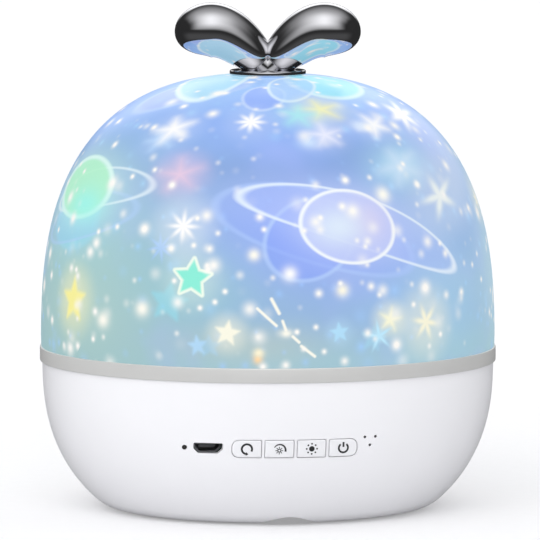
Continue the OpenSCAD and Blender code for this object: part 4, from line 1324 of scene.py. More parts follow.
@dataclass(frozen=True)
class Sizes:
    """Driving sizes of the light, in millimetres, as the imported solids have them."""

    front_turn: float = 7.2
    ring_r: float = 63.0
    base_top: float = 40.8
    ring_h: float = 4.0
    base: Swell = Swell(62.3, 52.0, 2.4)
    base_wall: float = 2.2
    shade: Swell = Swell(62.7, 75.0, 2.66)
    shade_wall: float = 1.8
    rim_z: float = 0.5
    rim_round: float = 2.6
    key_z: float = 22.7
    key_pitch: float = 8.75
    key_w: float = 7.75
    key_h: float = 4.8
    key_end_round: float = 2.2
    key_corner: float = 0.35
    key_play: float = 0.15
    key_proud: float = 0.4
    usb_x: float = 23.2
    board_y: float = 44.0

    @property
    def shade_z(self) -> float:
        """Height of the shade's open rim."""
        return self.base_top + self.ring_h

    @property
    def shade_top(self) -> float:
        """Height of the shade's crown."""
        return self.shade_z + self.shade.depth

    @property
    def base_inner(self) -> Swell:
        """The inside of the base shell."""
        return self.base.within(self.base_wall)

    @property
    def shade_inner(self) -> Swell:
        """The inside of the shade."""
        return self.shade.within(self.shade_wall)

    @property
    def panel(self) -> Matrix:
        """The turn that brings the panel from -Y to its place."""
        return Matrix.Rotation(math.radians(self.front_turn), 4, "Z")


SIZES = Sizes()


# ---------- the shade, the tail and its plate ----------


@dataclass
class Crown:
    """The shade with the tail and the plate that stand on it.

    lobe_path holds the four control points of a lobe's middle line, in x and height above the plate.
    """

    plate_r: float = 10.5
    plate_t: float = 1.4
    plate_soft: float = 0.35
    seat_play: float = 0.1
    spigot_r: float = 3.0
    screw_play_r: float = 1.6
    lip: float = 0.3
    lip_slant: float = 0.3
    shade_steps: tuple[int, int] = (110, 64)
    shade_sides: int = 200
    plate_sides: int = 128
    lobe_path: tuple[Point2, ...] = ((1.5, 1.9), (9.3, 9.2), (15.0, 15.5), (24.2, 6.8))
    lobe_root_t: float = 3.1
    lobe_swell: float = 5.7
    lobe_rise: float = 0.4
    lobe_depth: float = 0.92
    lobe_blunt: float = 6.0
    lobe_back: float = 4.0
    lobe_shrink: float = 0.997
    lobe_sides: int = 72
    lobe_rings: int = 80
    weld: float = 1e-4
    sizes: Sizes = field(default=SIZES)

    @property
    def seat_z(self) -> float:
        """Height of the seat that is sunk into the shade for the plate."""
        return self.sizes.shade_z + self.sizes.shade.height(self.plate_r)

    @property
    def tail_z(self) -> float:
        """Height of the plate's upper face."""
        return self.seat_z + self.plate_t

    def build(self) -> None:
        """Builds all of the crown's pieces."""
        self.build_shade()
        self.build_plate()
        self.build_tail()

    def build_shade(self) -> None:
        """Builds the shade as one smooth wall with a seat for the plate and a round lower edge."""
        s = self.sizes
        seat_r = self.plate_r + self.seat_play
        hole_r = self.spigot_r + self.seat_play
        outer_steps, inner_steps = self.shade_steps
        outer = [(r, z + s.shade_z) for r, z in s.shade.arc(outer_steps) if r > seat_r]
        inner = [(r, z + s.shade_z) for r, z in s.shade_inner.arc(inner_steps) if r > hole_r]
        slant = self.lip * self.lip_slant
        profile = [(outer[0][0] - self.lip, s.shade_z), (outer[0][0] - slant, s.shade_z + slant)]
        profile += [p for p in outer if p[1] > s.shade_z + self.lip]
        profile += [(seat_r, s.shade_z + s.shade.height(seat_r)), (seat_r, self.seat_z)]
        profile += [(hole_r, self.seat_z), (hole_r, s.shade_z + s.shade_inner.depth)]
        profile += list(reversed(inner))
        mesh = mesh_from("shade_wall", revolve(profile, self.shade_sides))
        place_piece("shade_dome", mesh, SHADE_PRINT, Body.SHADE.value, ("shade",), 40.0)

    def build_plate(self) -> None:
        """Builds the round plate under the tail, with a rolled edge and its spigot."""
        soft, edge = self.plate_soft, self.plate_r - self.plate_soft
        low = self.seat_z
        spigot_low = self.sizes.shade_top - self.sizes.shade_wall
        quarter = quarter_turn(5)
        profile = [(self.screw_play_r, spigot_low), (self.spigot_r, spigot_low), (self.spigot_r, low)]
        profile += [(edge + soft * math.cos(a), low + soft - soft * math.sin(a)) for a in reversed(quarter)]
        profile += [(edge + soft * math.cos(a), self.tail_z - soft + soft * math.sin(a)) for a in quarter]
        profile.append((self.screw_play_r, self.tail_z))
        mesh = mesh_from("plate", revolve(profile, self.plate_sides))
        place_piece(
            "tail_plate_rolled", mesh, CHROME, Body.SHADE.value, ("tail_plate",), 50.0
        )

    def lobe_at(self, share: float) -> Vector:
        """Finds the middle of a lobe at a share of its length.

        Args:
            share: 0 at the root and 1 at the tip.

        Returns:
            The point, as x and height above the plate.
        """
        a, b, c, d = (Vector(p) for p in self.lobe_path)
        rest = 1 - share
        return a * rest**3 + b * 3 * rest**2 * share + c * 3 * rest * share**2 + d * share**3

    def lobe_way(self, share: float) -> Vector:
        """Finds the direction of a lobe's middle line.

        Args:
            share: 0 at the root and 1 at the tip.

        Returns:
            The direction, of length 1.
        """
        a, b, c, d = (Vector(p) for p in self.lobe_path)
        rest = 1 - share
        return ((b - a) * rest**2 + (c - b) * 2 * rest * share + (d - c) * share**2).normalized()

    def lobe_half(self, share: float) -> float:
        """Returns a lobe's half thickness."""
        swell = self.lobe_root_t + self.lobe_swell * share**self.lobe_rise
        return swell * math.sqrt(max(0.0, 1 - share**self.lobe_blunt))

    def lobe(self) -> BMesh:
        """Sweeps an ellipse along a lobe's middle line.

        Returns:
            One closed lobe, which reaches past the middle and below the plate.
        """
        build = bmesh.new()
        sides, rings = self.lobe_sides, self.lobe_rings
        shares = [0.0] + [(1 - math.cos(math.pi * i / rings)) / 2 for i in range(1, rings)]
        stations = [
            (self.lobe_at(0) - self.lobe_way(0) * self.lobe_back, self.lobe_way(0), self.lobe_root_t)
        ]
        stations += [(self.lobe_at(s), self.lobe_way(s), self.lobe_half(s)) for s in shares]
        loops = []
        for middle, way, half in stations:
            loop = []
            for j in range(sides):
                angle = 2 * math.pi * j / sides
                up, aside = half * math.cos(angle), self.lobe_depth * half * math.sin(angle)
                loop.append(build.verts.new((middle.x - way.y * up, aside, middle.y + way.x * up)))
            loops.append(loop)
        end = self.lobe_at(1)
        tip = build.verts.new((end.x, 0, end.y))
        for first, second in zip(loops, loops[1:]):
            for j in range(sides):
                k = (j + 1) % sides
                build.faces.new((first[j], second[j], second[k], first[k]))
        for j in range(sides):
            build.faces.new((loops[-1][j], tip, loops[-1][(j + 1) % sides]))
        build.faces.new(loops[0])
        return build

    def build_tail(self) -> None:
        """Builds one smooth lobe, cuts it at the middle and at the plate, and mirrors it."""
        build = self.lobe()
        for normal in ((-1, 0, 0), (0, 0, -1)):
            geometry = build.verts[:] + build.edges[:] + build.faces[:]
            bmesh.ops.bisect_plane(
                build, geom=geometry, plane_co=(0, 0, 0), plane_no=normal, clear_outer=True
            )
        geometry = build.verts[:] + build.edges[:] + build.faces[:]
        mirrored = bmesh.ops.duplicate(build, geom=geometry)["geom"]
        twins = [g for g in mirrored if isinstance(g, bmesh.types.BMVert)]
        bmesh.ops.scale(build, vec=(-1, 1, 1), verts=twins)
        bmesh.ops.reverse_faces(build, faces=[g for g in mirrored if isinstance(g, bmesh.types.BMFace)])
        bmesh.ops.remove_doubles(build, verts=build.verts, dist=self.weld)
        bmesh.ops.holes_fill(build, edges=[e for e in build.edges if e.is_boundary])
        bmesh.ops.recalc_face_normals(build, faces=build.faces)
        bmesh.ops.scale(build, vec=(self.lobe_shrink,) * 3, verts=build.verts)
        bmesh.ops.translate(build, vec=(0, 0, self.tail_z), verts=build.verts)
        mesh = mesh_from("tail_lobes", build)
        place_piece("tail_lobes", mesh, CHROME, Body.SHADE.value, ("tail",), 30.0)


# ---------- the base shell, the trim ring and the bottom ----------


@dataclass
class BaseHousing:
    """The white base shell with its windows, and the silver ring on it."""

    arch_w: float = 17.0
    arch_h: float = 2.1
    arch_full: float = 0.7
    arch_reach: float = 4.0
    arch_low: float = -2.0
    arch_steps: int = 40
    arch_angles: tuple[float, ...] = (30.0, 150.0, 270.0)
    usb_w: float = 7.7
    usb_h: float = 2.9
    usb_corner: float = 1.26
    usb_rounds: tuple[float, ...] = (0.5, 0.5, 0.3, 0.3, 0.3, 0.3)
    light_x: float = 29.3
    light_r: float = 0.7
    sound_x: float = 20.7
    sound_rise: float = 2.7
    sound_half: float = 1.5
    sound_drop: float = 2.3
    sound_r: float = 0.4
    shell_steps: tuple[int, int] = (90, 48)
    shell_sides: int = 256
    normal_reach: float = 0.03
    top_margin: float = 0.01
    rim_margin: float = 0.05
    ledge_z: float = 4.8
    ledge_t: float = 2.0
    ledge_w: float = 8.0
    ledge_lap: float = 0.6
    tab_r: float = 6.3
    tab_hole_r: float = 1.6
    tab_lift: float = 0.01
    foot_ring_r: float = 33.029
    foot_angles: tuple[float, ...] = (90.0, 210.0, 330.0)
    ring_lip: float = 2.2
    ring_soft: float = 0.3
    flange_r: float = 61.2
    flange_top: float = 42.7
    lip_play: float = 0.1
    sizes: Sizes = field(default=SIZES)

    def build(self) -> None:
        """Builds the shell, its ledge and the ring."""
        self.build_shell()
        self.build_ledge()
        self.build_ring()

    def shell_profile(self) -> list[Point2]:
        """Draws the shell's outline.

        Returns:
            Points of the outside, the round lower edge and the inside, as radius and height.
        """
        s = self.sizes
        outer_steps, inner_steps = self.shell_steps
        depth = s.base_top - s.rim_z
        outer = [(r, s.base_top - z) for r, z in s.base.arc(outer_steps, depth - s.rim_round)]
        rim_r = s.base.at(depth)
        a, b, c = Vector(outer[-1]), Vector((rim_r, s.rim_z)), Vector((rim_r - s.rim_round, s.rim_z))
        turn = [tuple(bend(a, b, c, i / 8)) for i in range(1, 9)]
        inner = [(r, s.base_top - z) for r, z in s.base_inner.arc(inner_steps, depth)]
        return outer + turn + list(reversed(inner))

    def cutters(self) -> list[Mesh]:
        """Builds the solids of the windows, holes and arches.

        Returns:
            One mesh for each.
        """
        s = self.sizes
        outlines = [key_outline(i, s.key_play) for i in range(4)]
        outlines.append(self.usb_outline())
        outlines.append(circle_points(self.light_r, 32, (-self.light_x, s.key_z)))
        upper = s.key_z + self.sound_rise
        for x, z in ((-self.sound_half, upper), (self.sound_half, upper), (0.0, upper - self.sound_drop)):
            outlines.append(circle_points(self.sound_r, 24, (self.sound_x + x, z)))
        solids = [(prism(outline, s.board_y, s.base.radius), s.panel) for outline in outlines]
        depth = s.base_top - s.rim_z
        near = s.base_inner.at(depth) - self.arch_reach
        far = s.base.at(depth) + self.arch_reach
        for angle in self.arch_angles:
            turn = s.panel @ Matrix.Rotation(math.radians(angle + 90), 4, "Z")
            solids.append((prism(self.arch_outline(), near, far), turn))
        made = []
        for build, turn in solids:
            build.transform(turn)
            made.append(mesh_from("cutter", build))
        return made

    def arch_outline(self) -> list[Point2]:
        """Draws an arch of the lower edge.

        Returns:
            Its outline, in x and z.
        """
        points = [(self.arch_w / 2, self.arch_low), (-self.arch_w / 2, self.arch_low)]
        for i in range(self.arch_steps + 1):
            x = self.arch_w * (i / self.arch_steps - 0.5)
            rise = max(0.0, (1 + math.cos(2 * math.pi * x / self.arch_w)) / 2)
            points.append((x, self.sizes.rim_z + self.arch_h * rise**self.arch_full))
        return points

    def usb_outline(self) -> list[Point2]:
        """Draws the charging window: wide above, its lower corners cut off.

        Returns:
            Its outline, in x and z.
        """
        w, h, c = self.usb_w / 2, self.usb_h / 2, self.usb_corner
        corners = [(-w, h), (w, h), (w, c - h), (w - c, -h), (c - w, -h), (-w, c - h)]
        soft = round_corners(corners, self.usb_rounds)
        return [(x - self.sizes.usb_x, z + self.sizes.key_z) for x, z in soft]

    def true_normal(self, point: Vector) -> Optional[Vector]:
        """Works out the normal of the shell's outside or inside.

        Args:
            point: A point, in metres.

        Returns:
            The normal, or None where the point lies on neither side of the wall.
        """
        s = self.sizes
        radius = math.hypot(point.x, point.y) / MM
        z = s.base_top - point.z / MM
        rim_top = s.rim_z + s.rim_round - self.rim_margin
        if z < self.top_margin or point.z / MM < rim_top:
            return None
        for swell in (s.base, s.base_inner):
            if z < swell.depth and abs(swell.at(z) - radius) < self.normal_reach:
                across, upward = swell.slope(radius, z)
                unit = Vector((point.x, point.y, 0)).normalized()
                return Vector((unit.x * across, unit.y * across, -upward)).normalized()
        return None

    def build_shell(self) -> None:
        """Builds the shell with its arches and windows."""
        wall = mesh_from("shell_wall", revolve(self.shell_profile(), self.shell_sides))
        cut = cut_away(wall, self.cutters())
        cut.materials.clear()
        smooth(cut, 30.0)
        set_normals(cut, self.true_normal)
        place_piece(
            "base_shell_outer", cut, SHELL_ABS, Body.BASE.value, ("base_shell",), None
        )

    def build_ledge(self) -> None:
        """Builds the ledge that the bottom cover meets and the three tabs that the long screws pass."""
        s = self.sizes
        low, top = self.ledge_z, self.ledge_z + self.ledge_t
        wall_r = s.base_inner.at(s.base_top - low)
        out_r, in_r = wall_r + self.ledge_lap, wall_r - self.ledge_w
        parts = [revolve([(out_r, low), (out_r, top), (in_r, top), (in_r, low)], 96)]
        hole_r, tab_r = self.tab_hole_r, self.tab_r
        for angle in self.foot_angles:
            tab = revolve([(hole_r, low), (tab_r, low), (tab_r, top), (hole_r, top)], 40)
            turn = Matrix.Rotation(math.radians(angle), 4, "Z")
            tab.transform(turn @ Matrix.Translation((self.foot_ring_r, 0, self.tab_lift)))
            parts.append(tab)
        whole = join(parts)
        whole.transform(s.panel)
        mesh = mesh_from("ledge", whole)
        place_piece("base_shell_ledge", mesh, SHELL_ABS, Body.BASE.value, (), 30.0)

    def build_ring(self) -> None:
        """Builds the silver ring with fine rounded edges."""
        s = self.sizes
        top, low, soft = s.shade_z, s.base_top, self.ring_soft
        edge, lip = s.ring_r - soft, s.ring_r - self.ring_lip
        step_r, step_z = self.flange_r + self.lip_play, self.flange_top + self.lip_play
        quarter = quarter_turn(4)
        profile = [(step_r, low)]
        profile += [(edge + soft * math.sin(a), low + soft - soft * math.cos(a)) for a in quarter]
        profile += [(edge + soft * math.cos(a), top - soft + soft * math.sin(a)) for a in quarter]
        profile += [(lip, top), (lip, step_z), (step_r, step_z)]
        mesh = mesh_from("ring", revolve(profile, self.shell_sides))
        place_piece(
            "trim_ring_band", mesh, RING_PAINT, Body.BASE.value, ("trim_ring",), 50.0
        )


def round_corners(corners: Sequence[Point2], radii: Sequence[float], steps: int = 5) -> list[Point2]:
    """Rounds the corners of an outline.

    Args:
        corners: The sharp outline.
        radii: How far each corner's rounding reaches along its sides.
        steps: Straight pieces in each rounding.

    Returns:
        The rounded outline.
    """
    points: list[Point2] = []
    for i, reach in enumerate(radii):
        before, here, after = (Vector(corners[(i + k) % len(corners)]) for k in (-1, 0, 1))
        start = here + (before - here).normalized() * reach
        end = here + (after - here).normalized() * reach
        points += [tuple(bend(start, here, end, k / steps)) for k in range(steps + 1)]
    return points


def key_outline(index: int, more: float = 0.0, sizes: Sizes = SIZES) -> list[Point2]:
    """Returns the outline of a key in x and z.

    Args:
        index: 0 to 3, from left to right.
        more: How far the outline is grown on all sides.
        sizes: The light's sizes.

    Returns:
        The outline, with the row's two outer ends round.
    """
    w, h = sizes.key_w / 2 + more, sizes.key_h / 2 + more
    centre = (index - 1.5) * sizes.key_pitch
    end, small = sizes.key_end_round + more, sizes.key_corner + more
    left = end if index == 0 else small
    right = end if index == 3 else small
    corners = [(-w, h), (w, h), (w, -h), (-w, -h)]
    return [(x + centre, z + sizes.key_z) for x, z in round_corners(corners, (left, right, right, left), 10)]


# ---------- the keys and their signs ----------


class KeySign(Enum):
    """The signs on the keys, from left to right."""

    ROTATION = "rotation"
    MODE = "mode"
    BRIGHTNESS = "brightness"
    POWER = "power"


@dataclass
class KeyRow:
    """Four push keys that stand a little proud of the shell, with printed signs."""

    edge_round: float = 0.4
    edge_steps: int = 5
    face_rings: int = 8
    ink_t: float = 0.03
    ink_step: float = 0.6
    flange_lap: float = 0.7
    flange_gap: float = 0.3
    flange_t: float = 1.0
    flange_round: float = 0.15
    plunger_r: float = 2.0
    plunger_lap: float = 0.2
    stem_front: float = 50.5
    sizes: Sizes = field(default=SIZES)

    def build(self) -> None:
        """Builds each key with its sign."""
        for index, sign in enumerate(KeySign):
            body = f"key_{sign.value}"
            self.build_cap(index, body)
            self.build_sign(index, sign, body)

    def centre(self, index: int) -> Vector:
        """Returns the middle of a key in x and z."""
        return Vector(((index - 1.5) * self.sizes.key_pitch, self.sizes.key_z))

    def face_y(self, x: float, z: float) -> float:
        """Finds how far in front of the middle the keys' proud surface lies.

        Args:
            x: Place across the panel.
            z: Height.

        Returns:
            The distance.
        """
        s = self.sizes
        proud = Swell(s.base.radius + s.key_proud, s.base.depth + s.key_proud, s.base.power)
        return math.sqrt(max(0.0, proud.at(s.base_top - z) ** 2 - x * x))

    def cap_rings(self, build: BMesh, outline: Sequence[Vector], centre: Vector, back: float) -> list[list]:
        """Adds the rings of a cap: its back, its rounded edge and its face, which shrinks to the middle.

        Args:
            build: The cap's bmesh.
            outline: The key's outline in x and z.
            centre: Its middle.
            back: How far in front of the panel's middle the cap's back lies.

        Returns:
            The rings of vertices, from the back to the front.
        """
        round_, quarter = self.edge_round, quarter_turn(self.edge_steps)
        levels = [(round_ * (1 - math.cos(a)), round_ * (1 - math.sin(a)), 1.0) for a in quarter]
        levels += [(round_, 0.0, 1 - k / self.face_rings) for k in range(1, self.face_rings)]
        rings = [[build.verts.new((p.x, -back, p.y)) for p in outline]]
        for inset, sink, shrink in levels:
            made = []
            for i, point in enumerate(outline):
                side = outline[(i + 1) % len(outline)] - outline[i - 1]
                normal = Vector((side.y, -side.x)).normalized()
                if normal.dot(point - centre) < 0:
                    normal = -normal
                moved = centre + (point - normal * inset - centre) * shrink
                made.append(build.verts.new((moved.x, sink - self.face_y(moved.x, moved.y), moved.y)))
            rings.append(made)
        return rings

    def build_cap(self, index: int, body: str) -> None:
        """Builds a key's cap with a rounded edge, its inner flange and its plunger.

        Args:
            index: 0 to 3, from left to right.
            body: The key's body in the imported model.
        """
        s = self.sizes
        centre = self.centre(index)
        half_flange = s.key_h / 2 + s.key_play + self.flange_lap
        inner_r = s.base_inner.at(s.base_top - (s.key_z - half_flange))
        flange_front = math.sqrt(inner_r**2 - (abs(centre.x) + s.key_w / 2) ** 2) - self.flange_gap
        flange_back = flange_front - self.flange_t
        cap = bmesh.new()
        rings = self.cap_rings(cap, [Vector(p) for p in key_outline(index)], centre, flange_back)
        for first, second in zip(rings, rings[1:]):
            loft(cap, first, second)
        middle = cap.verts.new((centre.x, -self.face_y(centre.x, centre.y), centre.y))
        loft(cap, rings[-1], [middle] * len(rings[-1]))
        cap.faces.new(list(reversed(rings[0])))
        bmesh.ops.recalc_face_normals(cap, faces=cap.faces)
        flange = block(
            (s.key_w, self.flange_t, 2 * half_flange),
            (centre.x, -(flange_front + flange_back) / 2, s.key_z), self.flange_round,
        )
        round_end = circle_points(self.plunger_r, 32, tuple(centre))
        plunger = prism(round_end, self.stem_front, flange_back + self.plunger_lap)
        whole = join([cap, flange, plunger])
        whole.transform(s.panel)
        mesh = mesh_from(f"{body}_cap", whole)
        place_piece(f"{body}_cap", mesh, KEY_ABS, body, (body,), 40.0)

    def build_sign(self, index: int, sign: KeySign, body: str) -> None:
        """Lays a sign's flat shapes on the key as a thin print.

        Args:
            index: 0 to 3, from left to right.
            sign: Which sign it is.
            body: The key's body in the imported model.
        """
        flats = {
            KeySign.ROTATION: self.rotation_sign,
            KeySign.MODE: self.mode_sign,
            KeySign.BRIGHTNESS: self.brightness_sign,
            KeySign.POWER: self.power_sign,
        }[sign]()
        build = join(flats)
        bmesh.ops.triangulate(build, faces=build.faces)
        long_edges = [e for e in build.edges if e.calc_length() > self.ink_step]
        bmesh.ops.subdivide_edges(build, edges=long_edges, cuts=1)
        centre = self.centre(index)
        for vert in build.verts:
            x, z = vert.co.x + centre.x, vert.co.y + self.sizes.key_z
            vert.co = Vector((x, -self.face_y(x, z) - self.ink_t, z))
        build.transform(self.sizes.panel)
        bmesh.ops.recalc_face_normals(build, faces=build.faces)
        front = self.sizes.panel @ Vector((0, -1, 0))
        for face in build.faces:
            if face.normal.dot(front) < 0:
                face.normal_flip()
        mesh = mesh_from(f"{body}_sign", build)
        place_piece(f"{body}_sign", mesh, PAD_INK, body, (), 60.0)

    @staticmethod
    def band(radius: float, width: float, start: float, end: float, taper: float = 1.0) -> BMesh:
        """Builds a flat arc in x and y.

        Args:
            radius: Radius of its middle line.
            width: Its width at the end.
            start: Angle at which it starts, in degrees.
            end: Angle at which it ends.
            taper: Width at the start as a share of the width at the end.

        Returns:
            The arc.
        """
        steps = 36
        build = bmesh.new()
        pairs = []
        for i in range(steps + 1):
            share = i / steps
            angle = math.radians(start + (end - start) * share)
            half = width / 2 * (taper + (1 - taper) * share)
            reaches = [radius + side * half for side in (-1, 1)]
            pairs.append([build.verts.new((r * math.cos(angle), r * math.sin(angle), 0)) for r in reaches])
        for (a, b), (c, d) in zip(pairs, pairs[1:]):
            build.faces.new((a, b, d, c))
        return build

    @staticmethod
    def flat(points: Iterable[Point2]) -> BMesh:
        """Builds a flat face in x and y.

        Args:
            points: Its outline.

        Returns:
            The face.
        """
        build = bmesh.new()
        build.faces.new([build.verts.new((x, y, 0)) for x, y in points])
        return build

    def round_of(self, piece: BMesh, count: int) -> BMesh:
        """Repeats a flat shape round the middle of a sign.

        Args:
            piece: The shape.
            count: How many of it go round.

        Returns:
            All of them.
        """
        mesh = mesh_from("ray", piece, 1.0)
        many = Repeater.repeat(mesh, count, PAD_INK, turn=2 * math.pi / count)
        build = bmesh.new()
        build.from_mesh(many)
        bpy.data.meshes.remove(many)
        return build

    def rotation_sign(self) -> list[BMesh]:
        """Draws a round arrow.

        Returns:
            Its arc and its head.
        """
        radius, width, start, end = 1.36, 0.54, -28, 262
        head_l, head_half = 0.62, 0.52
        turn = math.radians(end)
        out = Vector((math.cos(turn), math.sin(turn)))
        along = Vector((-math.sin(turn), math.cos(turn)))
        middle = Vector((radius * math.cos(turn), radius * math.sin(turn)))
        head = [middle + along * head_l, middle + out * head_half, middle - out * head_half]
        return [self.band(radius, width, start, end), self.flat(p.to_tuple() for p in head)]

    def mode_sign(self) -> list[BMesh]:
        """Draws a small sun under an arc.

        Returns:
            The sun's ring, its beams and the arc.
        """
        beam = [(0.66, -0.12), (1.04, -0.1), (1.04, 0.1), (0.66, 0.12)]
        sun = [self.band(0.42, 0.28, 0, 360), self.round_of(self.flat(beam), 8)]
        arc = self.band(1.6, 0.52, 152, -14, 0.5)
        for part, place in ((sun[0], (-0.08, -0.38, 0)), (sun[1], (-0.08, -0.38, 0)), (arc, (0, -0.28, 0))):
            bmesh.ops.translate(part, vec=place, verts=part.verts)
        return sun + [arc]

    def brightness_sign(self) -> list[BMesh]:
        """Returns a full sun with eight dots round it."""
        sun, dot = circle_points(0.76, 36), circle_points(0.24, 16, (1.42, 0.0))
        return [self.flat(sun), self.round_of(self.flat(dot), 8)]

    def power_sign(self) -> list[BMesh]:
        """Draws the sign for switching on and off.

        Returns:
            Its arc and its bar.
        """
        half, low, high = 0.26, 0.25, 1.62
        bar = [(-half, low), (half, low), (half, high), (-half, high)]
        return [self.band(1.28, 0.52, 128, 412), self.flat(bar)]


# ---------- the charging socket's contacts ----------


@dataclass
class SocketContacts:
    """Five gold contacts under the socket's tongue."""

    count: int = 5
    pitch: float = 0.65
    size: tuple[float, float, float] = (0.4, 3.0, 0.06)
    edge_round: float = 0.015
    front: float = 53.28
    tongue_sunk: float = 5.0
    tongue_l: float = 4.0
    sizes: Sizes = field(default=SIZES)

    def build(self) -> None:
        """Builds the row of contacts."""
        mesh = mesh_from("contact", block(self.size, (0, 0, 0), self.edge_round))
        row = Repeater.repeat(mesh, self.count, GOLD_FLASH, shift=(self.pitch * MM, 0, 0))
        first = -self.sizes.usb_x - self.pitch * (self.count - 1) / 2
        back = -self.front + self.tongue_sunk - self.tongue_l / 2
        place = Matrix.Translation(Vector((first, back, self.sizes.key_z - self.size[2] / 2)) * MM)
        row.transform(self.sizes.panel @ place)
        place_piece("usb_contacts", row, GOLD_FLASH, Body.BASE.value, (), 30.0)


# ---------- light, floor and camera ----------


@dataclass(frozen=True)
class SoftBox:
    """A soft box in the room: how strongly it lights, how strongly mirrors show it, and its limits.

    Each limit is an angle's name, where the box starts, how soft that edge is, where the box ends and how
    soft that edge is, in degrees. turn runs from the front towards +X and rise upwards. roll runs from
    the front over the top to the back, and side from the middle towards +X.
    """

    strength: float
    mirrored: float
    limits: tuple[tuple[str, float, float, float, float], tuple[str, float, float, float, float]]


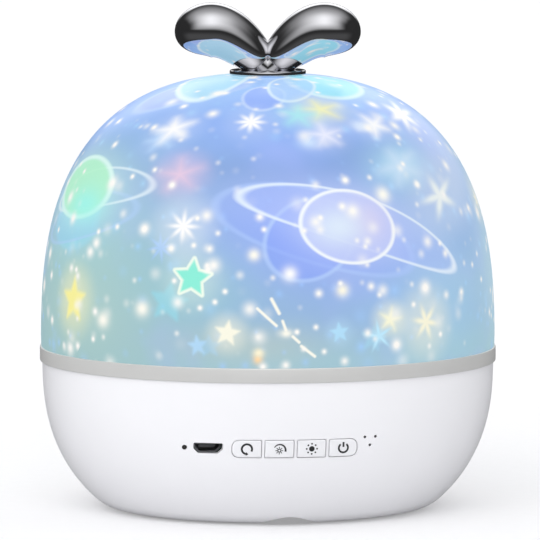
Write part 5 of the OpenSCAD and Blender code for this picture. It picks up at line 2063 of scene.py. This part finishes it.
@dataclass
class Studio:
    """A white sweep, a room with soft boxes and the camera. Lengths are in metres."""

    camera_at: tuple[float, float, float] = (0.00062, -2.35, 0.2898)
    aim: tuple[float, float, float] = (0.00062, 0.0, 0.0655)
    view_width: float = 0.1492
    sensor: float = 36.0
    clip: tuple[float, float] = (0.05, 30.0)
    floor_half: float = 6.0
    paper: tuple[str, str] = ("#e0e0e1", "#e4e4e5")
    fibre_mm: float = 10 / 3
    paper_roughness: float = 0.9
    paper_specular: float = 0.1
    paper_glow: float = 0.14
    paper_glow_seen: float = 0.2
    wall_light: float = 0.28
    wall_mirrored: float = 0.03
    boxes: tuple[SoftBox, ...] = (
        SoftBox(0.9, 0.0, (("roll", 78, 14, 150, 14), ("side", -48, 14, 48, 14))),
        SoftBox(2.15, 0.0, (("turn", -52, 25, 28, 25), ("rise", 12, 14, 60, 14))),
        SoftBox(0.75, 0.0, (("turn", 60, 10, 108, 10), ("rise", -18, 12, 50, 12))),
        SoftBox(0.75, 0.0, (("turn", -108, 10, -60, 10), ("rise", -18, 12, 50, 12))),
        SoftBox(0.0, 0.36, (("roll", 5, 6, 105, 40), ("side", -40, 16, 40, 16))),
        SoftBox(0.0, 0.88, (("roll", 18, 16, 66, 24), ("side", -21, 26, 21, 26))),
        SoftBox(0.0, 0.14, (("roll", 50, 16, 104, 22), ("side", -52, 8, 52, 8))),
        SoftBox(0.0, 1.4, (("roll", 136, 6, 168, 6), ("side", -24, 10, 24, 10))),
        SoftBox(0.0, 0.05, (("turn", -70, 20, 70, 20), ("rise", -39, 10, -11, 10))),
    )

    def build(self) -> None:
        """Builds the floor, the world and the camera."""
        self.build_camera()
        self.build_floor()
        self.build_world()
        view = bpy.context.scene.view_settings
        view.view_transform = "Standard"
        view.look = "None"

    def build_camera(self) -> None:
        """Adds the camera, aimed so that the light fills the frame as in the photograph."""
        data = bpy.data.cameras.new("photo_camera")
        camera = bpy.data.objects.new("photo_camera", data)
        bpy.context.scene.collection.objects.link(camera)
        way = Vector(self.aim) - Vector(self.camera_at)
        camera.location = self.camera_at
        camera.rotation_euler = way.to_track_quat("-Z", "Y").to_euler()
        data.sensor_width = self.sensor
        data.lens = self.sensor * way.length / self.view_width
        data.clip_start, data.clip_end = self.clip
        bpy.context.scene.camera = camera

    def build_floor(self) -> None:
        """Adds a pale floor that takes a faint shadow."""
        build = bmesh.new()
        bmesh.ops.create_grid(build, x_segments=1, y_segments=1, size=self.floor_half)
        mesh = mesh_from("floor", build, 1.0)
        floor = new_object("floor", mesh)
        material = bpy.data.materials.new("white_paper_sweep")
        material.use_nodes = True
        tree = material.node_tree
        place = add_node(tree, "ShaderNodeTexCoord").outputs["Object"]
        fibre = add_node(tree, "ShaderNodeTexNoise", {"Vector": place, "Scale": 1 / (self.fibre_mm * MM)})
        low, high = (linear(code) for code in self.paper)
        colour = add_node(
            tree, "ShaderNodeMix", {0: fibre.outputs[0], 6: low, 7: high}, data_type="RGBA"
        ).outputs[2]
        seen = add_node(tree, "ShaderNodeLightPath").outputs["Is Camera Ray"]
        glow = add_node(tree, "ShaderNodeMix", {0: seen, 2: self.paper_glow, 3: self.paper_glow_seen})
        feed(tree, tree.nodes["Principled BSDF"], {
            "Base Color": colour, "Roughness": self.paper_roughness,
            "Specular IOR Level": self.paper_specular, "Emission Strength": glow.outputs[0],
            "Emission Color": linear("#ffffff"),
        })
        mesh.materials.append(material)
        floor.visible_glossy = False

    def angles(self, tree: Tree) -> dict[str, Socket]:
        """Adds the angles that soft boxes are limited by.

        Args:
            tree: The world's tree.

        Returns:
            Each angle's name and output.
        """
        way = add_node(tree, "ShaderNodeTexCoord").outputs["Generated"]
        apart = add_node(tree, "ShaderNodeSeparateXYZ", {0: way}).outputs
        ahead = add_node(tree, "ShaderNodeMath", {0: apart[1], 1: -1.0}, operation="MULTIPLY").outputs[0]
        kinds = {
            "turn": ("ARCTAN2", apart[0], ahead),
            "rise": ("ARCSINE", apart[2]),
            "roll": ("ARCTAN2", apart[2], ahead),
            "side": ("ARCSINE", apart[0]),
        }
        return {
            name: add_node(tree, "ShaderNodeMath", dict(enumerate(inputs)), operation=operation).outputs[0]
            for name, (operation, *inputs) in kinds.items()
        }

    def build_world(self) -> None:
        """Adds the room: dim walls with soft boxes in front, at both sides, overhead and behind."""
        world = bpy.data.worlds.new("studio")
        bpy.context.scene.world = world
        world.use_nodes = True
        tree = world.node_tree
        tree.nodes.clear()
        angles = self.angles(tree)
        path = add_node(tree, "ShaderNodeLightPath").outputs
        glossy = path["Is Glossy Ray"]
        walls = add_node(tree, "ShaderNodeMix", {0: glossy, 2: self.wall_light, 3: self.wall_mirrored})
        total = walls.outputs[0]
        for box in self.boxes:
            level = add_node(tree, "ShaderNodeMix", {0: glossy, 2: box.strength, 3: box.mirrored})
            inside: Any = 1.0
            for axis, start, start_soft, end, end_soft in box.limits:
                for edge, soft in ((start, start_soft), (end, -end_soft)):
                    low, high = math.radians(edge - soft), math.radians(edge + soft)
                    window = add_node(
                        tree, "ShaderNodeMapRange",
                        {"Value": angles[axis], "From Min": low, "From Max": high},
                        interpolation_type="SMOOTHSTEP",
                    )
                    inside = add_node(
                        tree, "ShaderNodeMath", {0: inside, 1: window.outputs[0]}, operation="MULTIPLY"
                    ).outputs[0]
            total = add_node(
                tree, "ShaderNodeMath", {0: inside, 1: level.outputs[0], 2: total}, operation="MULTIPLY_ADD"
            ).outputs[0]
        room = add_node(tree, "ShaderNodeBackground", {"Color": linear("#fdfdfe"), "Strength": total})
        white = add_node(tree, "ShaderNodeBackground", {"Color": linear("#ffffff"), "Strength": 1.0})
        shown = add_node(
            tree, "ShaderNodeMixShader",
            {0: path["Is Camera Ray"], 1: room.outputs[0], 2: white.outputs[0]},
        )
        add_node(tree, "ShaderNodeOutputWorld", {"Surface": shown.outputs[0]})


# ---------- all ----------


def dress_nodes() -> None:
    """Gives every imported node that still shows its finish."""
    for finish, names in FINISH_NODES:
        for name in names:
            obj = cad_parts[name]
            if not obj.material_slots:
                obj.data.materials.append(finish.material())
            for slot in obj.material_slots:
                slot.material = finish.material()
            LOG.info("%s: %s", name, finish.name)


def main() -> None:
    """Builds every piece in order."""
    logging.basicConfig(level=logging.INFO, format="%(name)s %(message)s")
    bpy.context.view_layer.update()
    Studio().build()
    dress_nodes()
    BaseHousing().build()
    KeyRow().build()
    SocketContacts().build()
    Crown().build()


if __name__ == "__main__":
    main()
